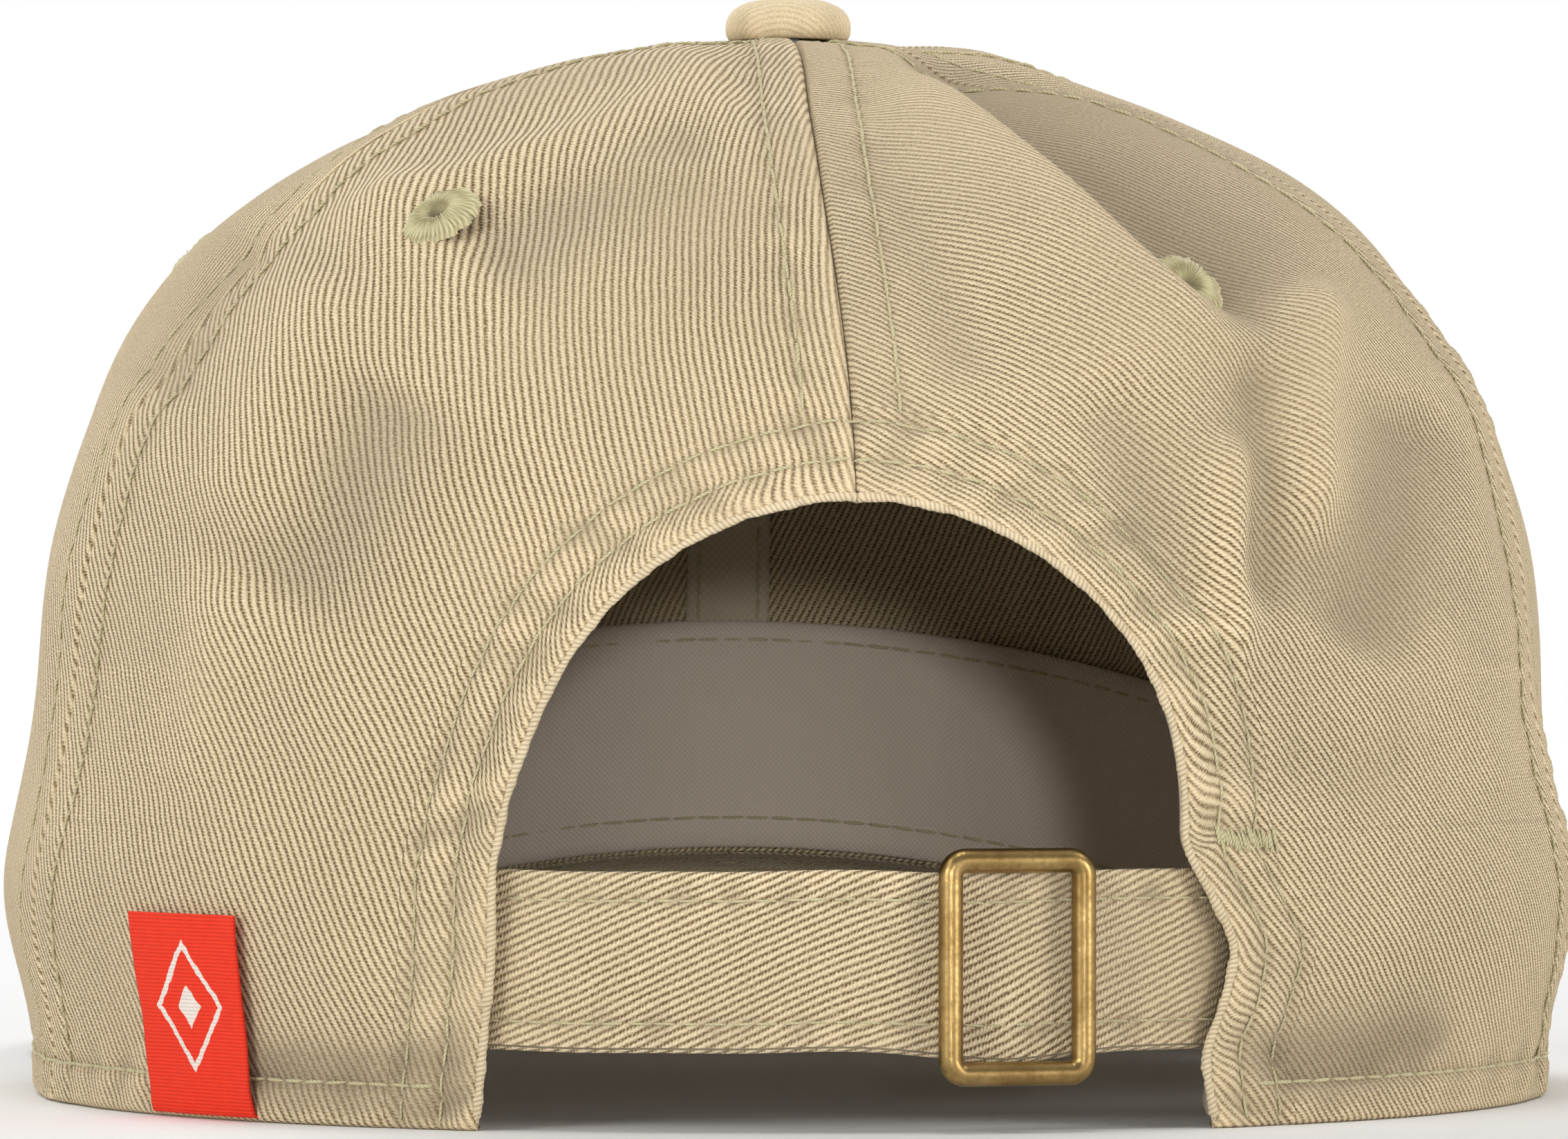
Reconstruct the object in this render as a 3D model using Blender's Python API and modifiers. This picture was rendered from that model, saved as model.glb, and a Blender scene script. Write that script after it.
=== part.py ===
"""A six-panel baseball cap with an unstructured crown, a curved visor and a slide buckle.

Metres. +Z is up, the visor points to -Y and the wearer's left is +X. The origin is the
centre of the head opening, on the surface that the cap stands on.
Azimuths are measured round the crown from the back, positive towards the wearer's left.
"""

import math

import bmesh
import bpy
from mathutils import Matrix, Vector

MM = 0.001
DEG = math.pi / 180
GAP = 0.3 * MM  # between pieces that are sewn or welded together

# Crown: an upright wall below a full dome, elliptical in plan.
HALF_WIDTH = 88.4 * MM
HALF_LENGTH = 99 * MM
WALL_TOP = 50 * MM
DOME_HEIGHT = 73.5 * MM
DOME_FULLNESS = 2.2  # 2 would be an ellipsoid
WALL_SHARE = 0.28  # share of the levels, hem to apex, that the wall takes
SIDE_BULGE = 4.2 * MM
BULGE_HEIGHT = 24 * MM
BULGE_REACH = 14 * MM
TOP_LEVEL = 0.988  # the panels end at a small hole under the button
PANEL_THICKNESS = 1.2 * MM
HEM_RISE = 25 * MM  # the hem's height over the visor's middle
HEM_RISE_REACH = 100 * DEG
BELOW_HEM = -0.006  # level where a panel starts before the floor plane trims it

# Seams: azimuth at the hem and at the apex.
BACK_SEAM = (0.0, 0.0)
SIDE_SEAM = (77 * DEG, 58 * DEG)
TEMPLE_SEAM = (125 * DEG, 121 * DEG)
FRONT_SEAM = (180 * DEG, 180 * DEG)
TAPE_HALF_WIDTH = 6 * MM
TAPE_THICKNESS = 0.4 * MM
TAPE_DEPTH = PANEL_THICKNESS + 0.5 * MM

# Back opening: a half-round arch on legs that spread a little.
ARCH_RADIUS = 37.5 * MM
ARCH_SPRING = 32 * MM
ARCH_FOOT = 40.5 * MM
FACING_WIDTH = 11 * MM
FACING_FOOT = 31 * MM

EYELETS = {  # azimuth and level of each panel's eyelet
    "back_left": (39 * DEG, 0.607),
    "side_left": (101 * DEG, 0.59),
    "front_left": (153.6 * DEG, 0.59),
    "front_right": (-153.6 * DEG, 0.59),
    "side_right": (-101 * DEG, 0.59),
    "back_right": (-33.1 * DEG, 0.559),
}
EYELET_HOLE = 1.0 * MM

BUTTON_BASE = WALL_TOP + DOME_HEIGHT + GAP

# Sweatband, measured in from the crown's outer face. The deeper ends leave pockets for the strap.
BAND_DEPTH = 2.3 * MM
POCKET_EXTRA_LEFT = 2.0 * MM
POCKET_EXTRA_RIGHT = 4.4 * MM
POCKET_END = 57 * DEG
POCKET_FADE = 26 * DEG
BAND_HEIGHT = 30 * MM
BAND_THICKNESS = 0.8 * MM
INTERLINING_THICKNESS = 0.6 * MM
BAND_LEFT_END = 27.2 * DEG
BAND_RIGHT_END = 24.6 * DEG

# Strap: a flat band on one arc, so that the buckle can travel along it.
STRAP_AXIS_Y = 13 * MM
STRAP_RADIUS = 83.3 * MM
STRAP_THICKNESS = 1.2 * MM
STRAP_WIDTH = 19.8 * MM
STRAP_HEIGHT = 18.6 * MM
STRAP_SEWN_END = 41 * DEG
STRAP_TAIL_END = 49 * DEG

# Slide buckle: a wire frame outside the strap and a bar behind it, held by a sewn loop.
BUCKLE_AT = 11.8 * DEG
BUCKLE_WIDTH = 17.9 * MM
BUCKLE_HEIGHT = 25.9 * MM
WIRE_RADIUS = 1.35 * MM
CORNER_RADIUS = 1.7 * MM
ROCKING_ROOM = 0.85 * MM
BAR_RADIUS = 0.8 * MM
LOOP_LAYER = 0.85 * MM
LOOP_WIDTH = 19.0 * MM
LOOP_HEIGHT = 18.1 * MM
LOOP_END = 54 * DEG
BAR_PLAY = 0.25 * MM

# Visor: a curved board between two fabric covers.
VISOR_REACH = 62 * DEG  # each side of the middle, along the hem
VISOR_CAMBER_RADIUS = 202 * MM
VISOR_PITCH = 0.10  # drop for each metre forward
VISOR_GAP = 0.8 * MM  # from the crown
BOARD_THICKNESS = 2.0 * MM
COVER_THICKNESS = 0.8 * MM
COVER_OVERHANG = 1.2 * MM
COVER_GAP = 0.6 * MM
VISOR_HEIGHT = BOARD_THICKNESS + 2 * COVER_THICKNESS + 2 * COVER_GAP
# Half of the visor's front edge in plan, from the middle to the corner at the temple.
VISOR_EDGE = (
    (0, -167 * MM),
    (46 * MM, -159 * MM),
    (77 * MM, -137 * MM),
    (86.5 * MM, -104 * MM),
    (85.5 * MM, -72 * MM),
    (79 * MM, -49 * MM),
)

# Woven label, folded round the hem.
LABEL_AT = 52.5 * DEG
LABEL_WIDTH = 18 * MM
LABEL_TOP = 23 * MM
LABEL_THICKNESS = 0.4 * MM
LABEL_NOTCH = 0.8 * MM


# --- helpers -----------------------------------------------------------------------------


def clear_scene():
    for obj in list(bpy.data.objects):
        bpy.data.objects.remove(obj)


def new_collection(name):
    collection = bpy.data.collections.new(name)
    bpy.context.scene.collection.children.link(collection)
    return collection


def material(name, color, roughness, metallic=0.0):
    made = bpy.data.materials.new(name)
    made.use_nodes = True
    shader = made.node_tree.nodes["Principled BSDF"]
    shader.inputs["Base Color"].default_value = (*color, 1)
    shader.inputs["Roughness"].default_value = roughness
    shader.inputs["Metallic"].default_value = metallic
    return made


def add_object(name, data, collection, finish=None, parent=None):
    obj = bpy.data.objects.new(name, data)
    collection.objects.link(obj)
    if finish:
        obj.data.materials.append(finish)
    obj.parent = parent
    return obj


def smooth(mesh):
    mesh.shade_smooth()
    mesh.set_sharp_from_angle(angle=40 * DEG)


def sheet(name, place, columns, rows, thickness, collection, finish, offset=-1.0):
    """A grid of place(u, v), u and v from 0 to 1, thickened behind its front face."""
    bm = bmesh.new()
    grid = [
        [bm.verts.new(place(c / columns, r / rows)) for c in range(columns + 1)]
        for r in range(rows + 1)
    ]
    for r in range(rows):
        for c in range(columns):
            corners = (grid[r][c], grid[r + 1][c], grid[r + 1][c + 1], grid[r][c + 1])
            bm.faces.new(corners)
    mesh = bpy.data.meshes.new(name)
    bm.to_mesh(mesh)
    bm.free()
    smooth(mesh)
    obj = add_object(name, mesh, collection, finish)
    thicken = obj.modifiers.new("Thickness", "SOLIDIFY")
    thicken.thickness = thickness
    thicken.offset = offset
    return obj


def cut(obj, cutter, operation="DIFFERENCE"):
    modifier = obj.modifiers.new(operation.title(), "BOOLEAN")
    modifier.operation = operation
    modifier.object = cutter


def as_cutter(obj):
    obj.hide_render = True
    obj.display_type = "WIRE"
    return obj


def box(name, low, high, collection):
    bm = bmesh.new()
    bmesh.ops.create_cube(bm, size=1)
    low, high = Vector(low), Vector(high)
    bmesh.ops.scale(bm, vec=high - low, verts=bm.verts)
    bmesh.ops.translate(bm, vec=(low + high) / 2, verts=bm.verts)
    mesh = bpy.data.meshes.new(name)
    bm.to_mesh(mesh)
    bm.free()
    return add_object(name, mesh, collection)


def outline_curve(name, outlines, depth):
    """A flat 2D curve of closed outlines in its own XY plane, extruded to the given depth."""
    curve = bpy.data.curves.new(name, "CURVE")
    curve.dimensions = "2D"
    curve.fill_mode = "BOTH"
    curve.extrude = depth / 2
    for points in outlines:
        spline = curve.splines.new("POLY")
        spline.points.add(len(points) - 1)
        for point, (x, y) in zip(spline.points, points):
            point.co = (x, y, 0, 1)
        spline.use_cyclic_u = True
    return curve


def tube_curve(name, points, radius, cyclic=False):
    curve = bpy.data.curves.new(name, "CURVE")
    curve.dimensions = "3D"
    curve.bevel_depth = radius
    curve.bevel_resolution = 3
    curve.use_fill_caps = not cyclic
    spline = curve.splines.new("POLY")
    spline.points.add(len(points) - 1)
    for point, position in zip(spline.points, points):
        point.co = (*position, 1)
    spline.use_cyclic_u = cyclic
    return curve


def turned(name, profile, steps, collection, finish, placing=None):
    """Turns a profile of (radius, height) about Z. It runs down its outer side."""
    mesh = bpy.data.meshes.new(name)
    on_axis = profile[0][0] == 0
    edges = [(i, i + 1) for i in range(len(profile) - 1)]
    if not on_axis:
        edges.append((len(profile) - 1, 0))
    mesh.from_pydata([(r, 0, z) for r, z in profile], edges, [])
    obj = add_object(name, mesh, collection, finish)
    screw = obj.modifiers.new("Turn", "SCREW")
    screw.steps = screw.render_steps = steps
    screw.use_merge_vertices = True
    screw.merge_threshold = 0.00005
    screw.use_smooth_shade = True
    if placing:
        obj.matrix_world = placing
    return obj


def arc(centre, radius, start, end, steps):
    """Points on an arc in a plane, from one angle to another."""
    angles = [start + (end - start) * i / steps for i in range(steps + 1)]
    return [
        (centre[0] + radius * math.cos(a), centre[1] + radius * math.sin(a))
        for a in angles
    ]


def mix(a, b, share):
    return a + (b - a) * share


def smoothstep(share):
    share = min(max(share, 0), 1)
    return share * share * (3 - 2 * share)


# --- the crown's outer face --------------------------------------------------------------


def hem_height(azimuth):
    from_front = math.pi - abs(azimuth)
    return HEM_RISE * math.cos(min(from_front / HEM_RISE_REACH, 1) * math.pi / 2) ** 2


def crown_point(azimuth, level):
    """A point of the crown's outer face. The level is 0 at the hem and 1 at the apex."""
    if level < WALL_SHARE:
        height = mix(hem_height(azimuth), WALL_TOP, level / WALL_SHARE)
        spread = 1.0
    else:
        angle = (level - WALL_SHARE) / (1 - WALL_SHARE) * math.pi / 2
        height = WALL_TOP + DOME_HEIGHT * math.sin(angle) ** (2 / DOME_FULLNESS)
        spread = math.cos(angle) ** (2 / DOME_FULLNESS)
    swell = math.exp(-(((height - BULGE_HEIGHT) / BULGE_REACH) ** 2))
    half_width = HALF_WIDTH * spread + SIDE_BULGE * swell * math.sin(azimuth) ** 2
    return Vector(
        (
            half_width * math.sin(azimuth),
            HALF_LENGTH * spread * math.cos(azimuth),
            height,
        )
    )


def crown_normal(azimuth, level):
    step = 0.002
    around = crown_point(azimuth + step, level) - crown_point(azimuth - step, level)
    upward = crown_point(azimuth, level + step) - crown_point(azimuth, level - step)
    return upward.cross(around).normalized()


def inside_crown(azimuth, level, depth):
    return crown_point(azimuth, level) - crown_normal(azimuth, level) * depth


def wall_level(azimuth, height):
    """The level at a height below the top of the wall."""
    hem = hem_height(azimuth)
    return (height - hem) / (WALL_TOP - hem) * WALL_SHARE


def seam_azimuth(seam, level):
    return mix(seam[0], seam[1], level)


def mirrored(seam):
    return (-seam[0], -seam[1])


def axis_distance(azimuth, level):
    return crown_point(azimuth, level).xy.length


# --- crown pieces ------------------------------------------------------------------------


def panel(name, first, last, collection, finish):
    """The panel between two seams, its edges half a gap in from each."""

    def place(u, v):
        level = mix(BELOW_HEM, TOP_LEVEL, v)
        low, high = seam_azimuth(first, level), seam_azimuth(last, level)
        inset = GAP / 2 / axis_distance((low + high) / 2, level)
        return crown_point(mix(low + inset, high - inset, u), level)

    return sheet(name, place, 12, 15, PANEL_THICKNESS, collection, finish)


def seam_tape(name, seam, lowest, collection, finish):
    """A tape behind a seam, narrower near the apex, where the six tapes meet."""

    def place(u, v):
        level = mix(lowest, 0.972, v)
        middle = seam_azimuth(seam, level)
        distance = axis_distance(middle, level)
        reach = min(TAPE_HALF_WIDTH / distance, 25 * DEG)
        return inside_crown(middle + reach * (2 * u - 1), level, TAPE_DEPTH)

    return sheet(name, place, 2, 15, TAPE_THICKNESS, collection, finish)


def arch_outline(grown=0.0, foot=None):
    """The arch seen from the back, larger by the given width."""
    radius = ARCH_RADIUS + grown
    points = arc((0, ARCH_SPRING), radius, 0, math.pi, 24)
    if foot is not None:
        return [(radius, foot), *points, (-radius, foot)]
    below = -5 * MM
    spread = ARCH_FOOT + (ARCH_FOOT - ARCH_RADIUS) * -below / ARCH_SPRING
    return [(spread, below), *points, (-spread, below)]


def arch_prism(name, outline, collection):
    """A prism along Y through the back of the crown, as a mesh that can cut."""
    curve = add_object(name + "_curve", outline_curve(name, [outline], 80 * MM), collection)
    curve.matrix_world = Matrix.Translation((0, 90 * MM, 0)) @ Matrix.Rotation(
        90 * DEG, 4, "X"
    )
    bpy.context.view_layer.update()
    graph = bpy.context.evaluated_depsgraph_get()
    mesh = bpy.data.meshes.new_from_object(curve.evaluated_get(graph))
    bm = bmesh.new()
    bm.from_mesh(mesh)
    bmesh.ops.remove_doubles(bm, verts=bm.verts, dist=0.01 * MM)
    bmesh.ops.recalc_face_normals(bm, faces=bm.faces)
    bm.to_mesh(mesh)
    bm.free()
    prism = add_object(name, mesh, collection)
    prism.matrix_world = curve.matrix_world
    bpy.data.objects.remove(curve)
    return as_cutter(prism)


def arch_facing(collection, cutters, arch, finish):
    """The tape that faces the arch from inside, cut from a layer behind the back panels."""

    def place(u, v):
        return inside_crown(mix(38 * DEG, -38 * DEG, 1 - u), mix(0.12, 0.5, v), TAPE_DEPTH)

    obj = sheet("arch_facing", place, 16, 8, TAPE_THICKNESS, collection, finish)
    grown = arch_prism(
        "facing_edge", arch_outline(FACING_WIDTH, foot=FACING_FOOT), cutters
    )
    cut(obj, grown, "INTERSECT")
    cut(obj, arch)
    return obj


def surface_frame(azimuth, level, lift):
    """A placing whose Z axis stands out of the crown, lifted off its outer face."""
    normal = crown_normal(azimuth, level)
    turn = normal.to_track_quat("Z", "Y").to_matrix().to_4x4()
    return Matrix.Translation(crown_point(azimuth, level) + normal * lift) @ turn


def eyelet_hole(name, azimuth, level, collection):
    bm = bmesh.new()
    bmesh.ops.create_cone(
        bm,
        cap_ends=True,
        segments=8,
        radius1=EYELET_HOLE,
        radius2=EYELET_HOLE,
        depth=8 * MM,
    )
    mesh = bpy.data.meshes.new(name)
    bm.to_mesh(mesh)
    bm.free()
    obj = add_object(name, mesh, collection)
    obj.matrix_world = surface_frame(azimuth, level, 0)
    return as_cutter(obj)


def eyelet(name, azimuth, level, collection, finish):
    profile = [
        (1.1 * MM, 0.5 * MM),
        (2.0 * MM, 1.0 * MM),
        (3.8 * MM, 0.9 * MM),
        (4.7 * MM, 0.3 * MM),
        (4.5 * MM, 0),
        (1.1 * MM, 0),
    ]
    placing = surface_frame(azimuth, level, GAP)
    return turned(name, profile, 14, collection, finish, placing)


def button(collection, fabric, metal):
    """Covered button on the apex: fabric cover, metal shell and the rivet with its inner washer."""
    at = Matrix.Translation((0, 0, BUTTON_BASE))
    cover = [
        (0, 5.0),
        (3.0, 4.9),
        (5.2, 4.5),
        (6.7, 3.5),
        (7.4, 2.2),
        (7.4, 0.8),
        (7.0, 0.0),
        (6.2, 0.0),
        (6.6, 1.0),
        (6.5, 2.2),
        (5.9, 3.1),
        (4.7, 3.75),
        (2.8, 4.1),
        (0, 4.2),
    ]
    shell = [
        (0, 3.9),
        (2.7, 3.8),
        (4.5, 3.45),
        (5.6, 2.85),
        (6.2, 2.1),
        (6.2, 1.1),
        (5.7, 1.1),
        (5.7, 2.0),
        (5.2, 2.5),
        (4.2, 3.0),
        (2.6, 3.3),
        (0, 3.4),
    ]
    rivet = [
        (0, 3.0),
        (1.4, 3.0),
        (1.4, -2.3),
        (5.4, -2.7),
        (5.4, -3.3),
        (1.0, -3.5),
        (0, -3.5),
    ]
    shapes = (
        ("button_cover", cover, fabric),
        ("button_shell", shell, metal),
        ("button_rivet", rivet, metal),
    )
    for name, profile, finish in shapes:
        scaled = [(r * MM, z * MM) for r, z in profile]
        turned(name, scaled, 20, collection, finish, at)


def pocket_depth(azimuth):
    """How far in the sweatband's outer layer lies."""
    extra = POCKET_EXTRA_LEFT if azimuth > 0 else POCKET_EXTRA_RIGHT
    fade = 1 - smoothstep((abs(azimuth) - POCKET_END) / POCKET_FADE)
    return BAND_DEPTH + extra * fade


def band(name, depth, height, thickness, collection, finish):
    """A band inside the hem, from the left end round the front to the right end."""

    def place(u, v):
        round_front = mix(BAND_LEFT_END, 2 * math.pi - BAND_RIGHT_END, u)
        azimuth = round_front - 2 * math.pi if round_front > math.pi else round_front
        level = wall_level(azimuth, hem_height(azimuth) + mix(1 * MM, height, v))
        return inside_crown(azimuth, level, pocket_depth(azimuth) + depth)

    return sheet(name, place, 44, 3, thickness, collection, finish)


def label(collection, finish):
    """A woven label folded round the hem: outer leg, fold under the hem, short inner leg."""
    lift = GAP + LABEL_THICKNESS / 2
    depth = PANEL_THICKNESS + lift
    fold = [
        (lift, LABEL_TOP),
        (lift, 15 * MM),
        (lift, 8 * MM),
        (lift, 1.4 * MM),
        (0.2 * MM, 0.4 * MM),
        (-0.6 * MM, 0.26 * MM),
        (-1.4 * MM, 0.4 * MM),
        (-depth, 1.4 * MM),
        (-depth, 6 * MM),
    ]

    def place(u, v):
        out, height = fold[round(v * (len(fold) - 1))]
        across = LABEL_WIDTH * (u - 0.5)
        azimuth = LABEL_AT + across / axis_distance(LABEL_AT, 0)
        level = wall_level(azimuth, height)
        return inside_crown(azimuth, level, -out)

    return sheet(
        "hem_label", place, 4, len(fold) - 1, LABEL_THICKNESS, collection, finish, 0.0
    )


def label_notch(collection):
    """A shallow cut in the hem, where the label passes under it."""
    middle = crown_point(LABEL_AT, 0)
    half = LABEL_WIDTH / 2 + GAP + 0.2 * MM
    notch = box(
        "label_notch", (-half, -6 * MM, -1 * MM), (half, 6 * MM, LABEL_NOTCH), collection
    )
    normal = crown_normal(LABEL_AT, 0.01)
    turn = Matrix.Rotation(math.atan2(normal.y, normal.x) - math.pi / 2, 4, "Z")
    notch.matrix_world = Matrix.Translation((middle.x, middle.y, 0)) @ turn
    return as_cutter(notch)


# --- visor -------------------------------------------------------------------------------


def visor_edge(share):
    """The visor's front edge in plan. The share runs from -1 at one temple to 1 at the other."""
    along = abs(share) * (len(VISOR_EDGE) - 1)
    i = min(int(along), len(VISOR_EDGE) - 2)
    t = along - i
    first = Vector(VISOR_EDGE[i])
    last = Vector(VISOR_EDGE[i + 1])
    before = Vector(VISOR_EDGE[i - 1]) if i else Vector((-VISOR_EDGE[1][0], VISOR_EDGE[1][1]))
    after = (
        Vector(VISOR_EDGE[i + 2]) if i + 2 < len(VISOR_EDGE) else 2 * last - first
    )
    blend = (
        2 * first
        + (last - before) * t
        + (2 * before - 5 * first + 4 * last - after) * t**2
        + (3 * first - before - 3 * last + after) * t**3
    ) / 2
    return Vector((math.copysign(blend.x, share) if share else 0, blend.y))


def visor_point(u, v, overhang, lift):
    """A point of a visor layer, a height above the visor's underside."""
    share = 2 * u - 1
    azimuth = math.copysign(math.pi - abs(share) * VISOR_REACH, share)
    above_hem = wall_level(azimuth, hem_height(azimuth) + VISOR_HEIGHT)
    foot = crown_point(azimuth, above_hem)
    back = foot.xy + crown_normal(azimuth, above_hem).xy.normalized() * VISOR_GAP
    front = visor_edge(share)
    front += (front - Vector((0, -80 * MM))).normalized() * overhang
    plan = back.lerp(front, v)

    def camber(x):
        return HEM_RISE - x * x / 2 / VISOR_CAMBER_RADIUS

    at_hem = hem_height(azimuth) - camber(back.x)
    height = camber(plan.x) + at_hem * (1 - v) - VISOR_PITCH * (back - plan).length
    return Vector((plan.x, plan.y, height + lift))


def visor_layer(name, bottom, thickness, overhang, collection, finish):
    def place(u, v):
        return visor_point(u, v, overhang, bottom)

    return sheet(name, place, 24, 5, thickness, collection, finish, 1.0)


def visor(collection, fabric, plastic):
    above_cover = COVER_THICKNESS + COVER_GAP
    above_board = above_cover + BOARD_THICKNESS + COVER_GAP
    visor_layer(
        "visor_bottom_cover", 0, COVER_THICKNESS, COVER_OVERHANG, collection, fabric
    )
    visor_layer("visor_board", above_cover, BOARD_THICKNESS, 0, collection, plastic)
    visor_layer(
        "visor_top_cover",
        above_board,
        COVER_THICKNESS,
        COVER_OVERHANG,
        collection,
        fabric,
    )


# --- strap and buckle --------------------------------------------------------------------


def strap(collection, finish):
    """The long strap: sewn under the left panel, its tail tucked under the right one."""

    def place(u, v):
        angle = mix(STRAP_SEWN_END, -STRAP_TAIL_END, 1 - u)
        return Vector(
            (
                STRAP_RADIUS * math.sin(angle),
                STRAP_AXIS_Y + STRAP_RADIUS * math.cos(angle),
                STRAP_HEIGHT + STRAP_WIDTH * (v - 0.5),
            )
        )

    return sheet("adjusting_strap", place, 30, 1, STRAP_THICKNESS, collection, finish)


def buckle_radii():
    """Distances from the strap's axis of the loop's outer face, the bar and the frame."""
    loop_face = STRAP_RADIUS - STRAP_THICKNESS - GAP
    bar = loop_face - LOOP_LAYER - BAR_PLAY - BAR_RADIUS
    frame = STRAP_RADIUS + ROCKING_ROOM + WIRE_RADIUS - 0.3 * MM
    return loop_face, bar, frame


def strap_loop(collection, finish, axis):
    """The short strap: doubled, with the buckle's bar in its fold, hidden end in the pocket."""
    loop_face, bar, _ = buckle_radii()
    inner = loop_face - 2 * LOOP_LAYER
    nose = BAR_RADIUS + BAR_PLAY + LOOP_LAYER
    right_angle = math.pi / 2  # the strap's axis looks along +Y at its middle
    start = right_angle + BUCKLE_AT
    end = right_angle + LOOP_END
    centre = (bar * math.cos(start), bar * math.sin(start))
    outer_run = arc((0, 0), loop_face, end, start, 14)
    fold = arc(centre, nose, start, start - math.pi, 8)[1:]
    easing = 5 * DEG
    inner_run = arc((0, 0), inner, start + easing, end, 12)
    outline = outer_run + fold + inner_run
    hole = arc(centre, BAR_RADIUS + BAR_PLAY, 0, 2 * math.pi, 12)[:-1]
    curve = outline_curve("strap_loop", [outline, hole], LOOP_WIDTH)
    obj = add_object("strap_loop", curve, collection, finish, axis)
    obj.location = (0, 0, 0)
    return obj


def rounded_rectangle(width, height, radius):
    """Corner arcs of a rectangle about the origin, in X and Z."""
    points = []
    for quarter, (sx, sz) in enumerate(((1, 1), (-1, 1), (-1, -1), (1, -1))):
        centre = (sx * (width / 2 - radius), sz * (height / 2 - radius))
        start = quarter * math.pi / 2
        points += arc(centre, radius, start, start + math.pi / 2, 4)
    return [(x, 0, z) for x, z in points]


def buckle(collection, brass, rocker):
    """Wire frame and bar, in the rocker's frame: X along the strap, Y outwards, bar at 0."""
    _, bar, frame = buckle_radii()
    ahead = frame - bar
    ring = rounded_rectangle(
        BUCKLE_WIDTH - 2 * WIRE_RADIUS, BUCKLE_HEIGHT - 2 * WIRE_RADIUS, CORNER_RADIUS
    )
    obj = add_object(
        "buckle_frame",
        tube_curve("buckle_frame", ring, WIRE_RADIUS, cyclic=True),
        collection,
        brass,
        rocker,
    )
    obj.location = (0, ahead, 0)
    top = BUCKLE_HEIGHT / 2 - WIRE_RADIUS
    bend = 1.2 * MM
    meets = ahead - WIRE_RADIUS - GAP
    upper = [(0, meets, top)]
    upper += [
        (0, y, z) for y, z in arc((bend, top - bend), bend, math.pi / 2, math.pi, 4)
    ]
    lower = [(x, y, -z) for x, y, z in reversed(upper)]
    staple = tube_curve("buckle_bar", upper + lower, BAR_RADIUS)
    add_object("buckle_bar", staple, collection, brass, rocker)


# --- the cap -----------------------------------------------------------------------------


def main():
    clear_scene()
    parts = new_collection("baseball_cap")
    cutters = new_collection("cutters")

    twill = material("washed_twill", (0.53, 0.425, 0.27), 0.9)
    tape = material("seam_tape", (0.60, 0.52, 0.38), 0.9)
    lining = material("sweatband_cotton", (0.74, 0.64, 0.53), 0.9)
    thread = material("thread", (0.47, 0.40, 0.23), 0.8)
    brass = material("antique_brass", (0.49, 0.33, 0.12), 0.35, 1.0)
    steel = material("zinc_steel", (0.55, 0.55, 0.55), 0.4, 1.0)
    plastic = material("visor_board", (0.85, 0.85, 0.83), 0.5)
    red = material("woven_red", (0.90, 0.055, 0.03), 0.8)

    arch = arch_prism("arch", arch_outline(), cutters)
    floor = as_cutter(
        box("floor_plane", (-0.2, -0.2, -0.02), (0.2, 0.2, 0), cutters)
    )

    seams = {
        "back": BACK_SEAM,
        "side_left": SIDE_SEAM,
        "temple_left": TEMPLE_SEAM,
        "front": FRONT_SEAM,
        "temple_right": mirrored(TEMPLE_SEAM),
        "side_right": mirrored(SIDE_SEAM),
    }
    panels = {
        "back_left": (BACK_SEAM, SIDE_SEAM),
        "side_left": (SIDE_SEAM, TEMPLE_SEAM),
        "front_left": (TEMPLE_SEAM, FRONT_SEAM),
        "front_right": (mirrored(FRONT_SEAM), mirrored(TEMPLE_SEAM)),
        "side_right": (mirrored(TEMPLE_SEAM), mirrored(SIDE_SEAM)),
        "back_right": (mirrored(SIDE_SEAM), BACK_SEAM),
    }
    for place, (first, last) in panels.items():
        obj = panel("panel_" + place, first, last, parts, twill)
        if not place.startswith("front"):
            cut(obj, floor)
        if place.startswith("back"):
            cut(obj, arch)
        azimuth, level = EYELETS[place]
        cut(obj, eyelet_hole("hole_" + place, azimuth, level, cutters))
        eyelet("eyelet_" + place, azimuth, level, parts, thread)
        if place == "back_left":
            cut(obj, label_notch(cutters))
    for place, seam in seams.items():
        arch_top = 0.47  # the level where the back tape meets the arch's facing
        lowest = arch_top if place == "back" else 0.02
        seam_tape("seam_tape_" + place, seam, lowest, parts, tape)
    arch_facing(parts, cutters, arch, tape)
    button(parts, twill, steel)

    interlining_depth = 0
    band_depth = INTERLINING_THICKNESS + GAP
    band(
        "sweatband_interlining",
        interlining_depth,
        BAND_HEIGHT - 2 * MM,
        INTERLINING_THICKNESS,
        parts,
        plastic,
    )
    band("sweatband", band_depth, BAND_HEIGHT + 1 * MM, BAND_THICKNESS, parts, lining)
    label(parts, red)
    visor(parts, twill, plastic)
    strap(parts, twill)

    slide_axis = add_object("slide_axis", None, parts)
    slide_axis.location = (0, STRAP_AXIS_Y, LOOP_HEIGHT)
    strap_loop(parts, twill, slide_axis)
    _, bar, _ = buckle_radii()
    tilt_axis = add_object("tilt_axis", None, parts, parent=slide_axis)
    tilt_axis.location = (-bar * math.sin(BUCKLE_AT), bar * math.cos(BUCKLE_AT), 0)
    tilt_axis.rotation_euler = (0, 0, BUCKLE_AT)
    buckle(parts, brass, tilt_axis)


main()
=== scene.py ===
"""Looks of the baseball cap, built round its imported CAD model.

Metres. +Z is up, the visor points to -Y and the wearer's left is +X. Azimuths are measured
round the crown from the back, positive towards the wearer's left. The crown, visor, strap and
buckle sizes below repeat part.py's.
"""

import bpy
import numpy as np
from mathutils import Matrix, Vector


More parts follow.
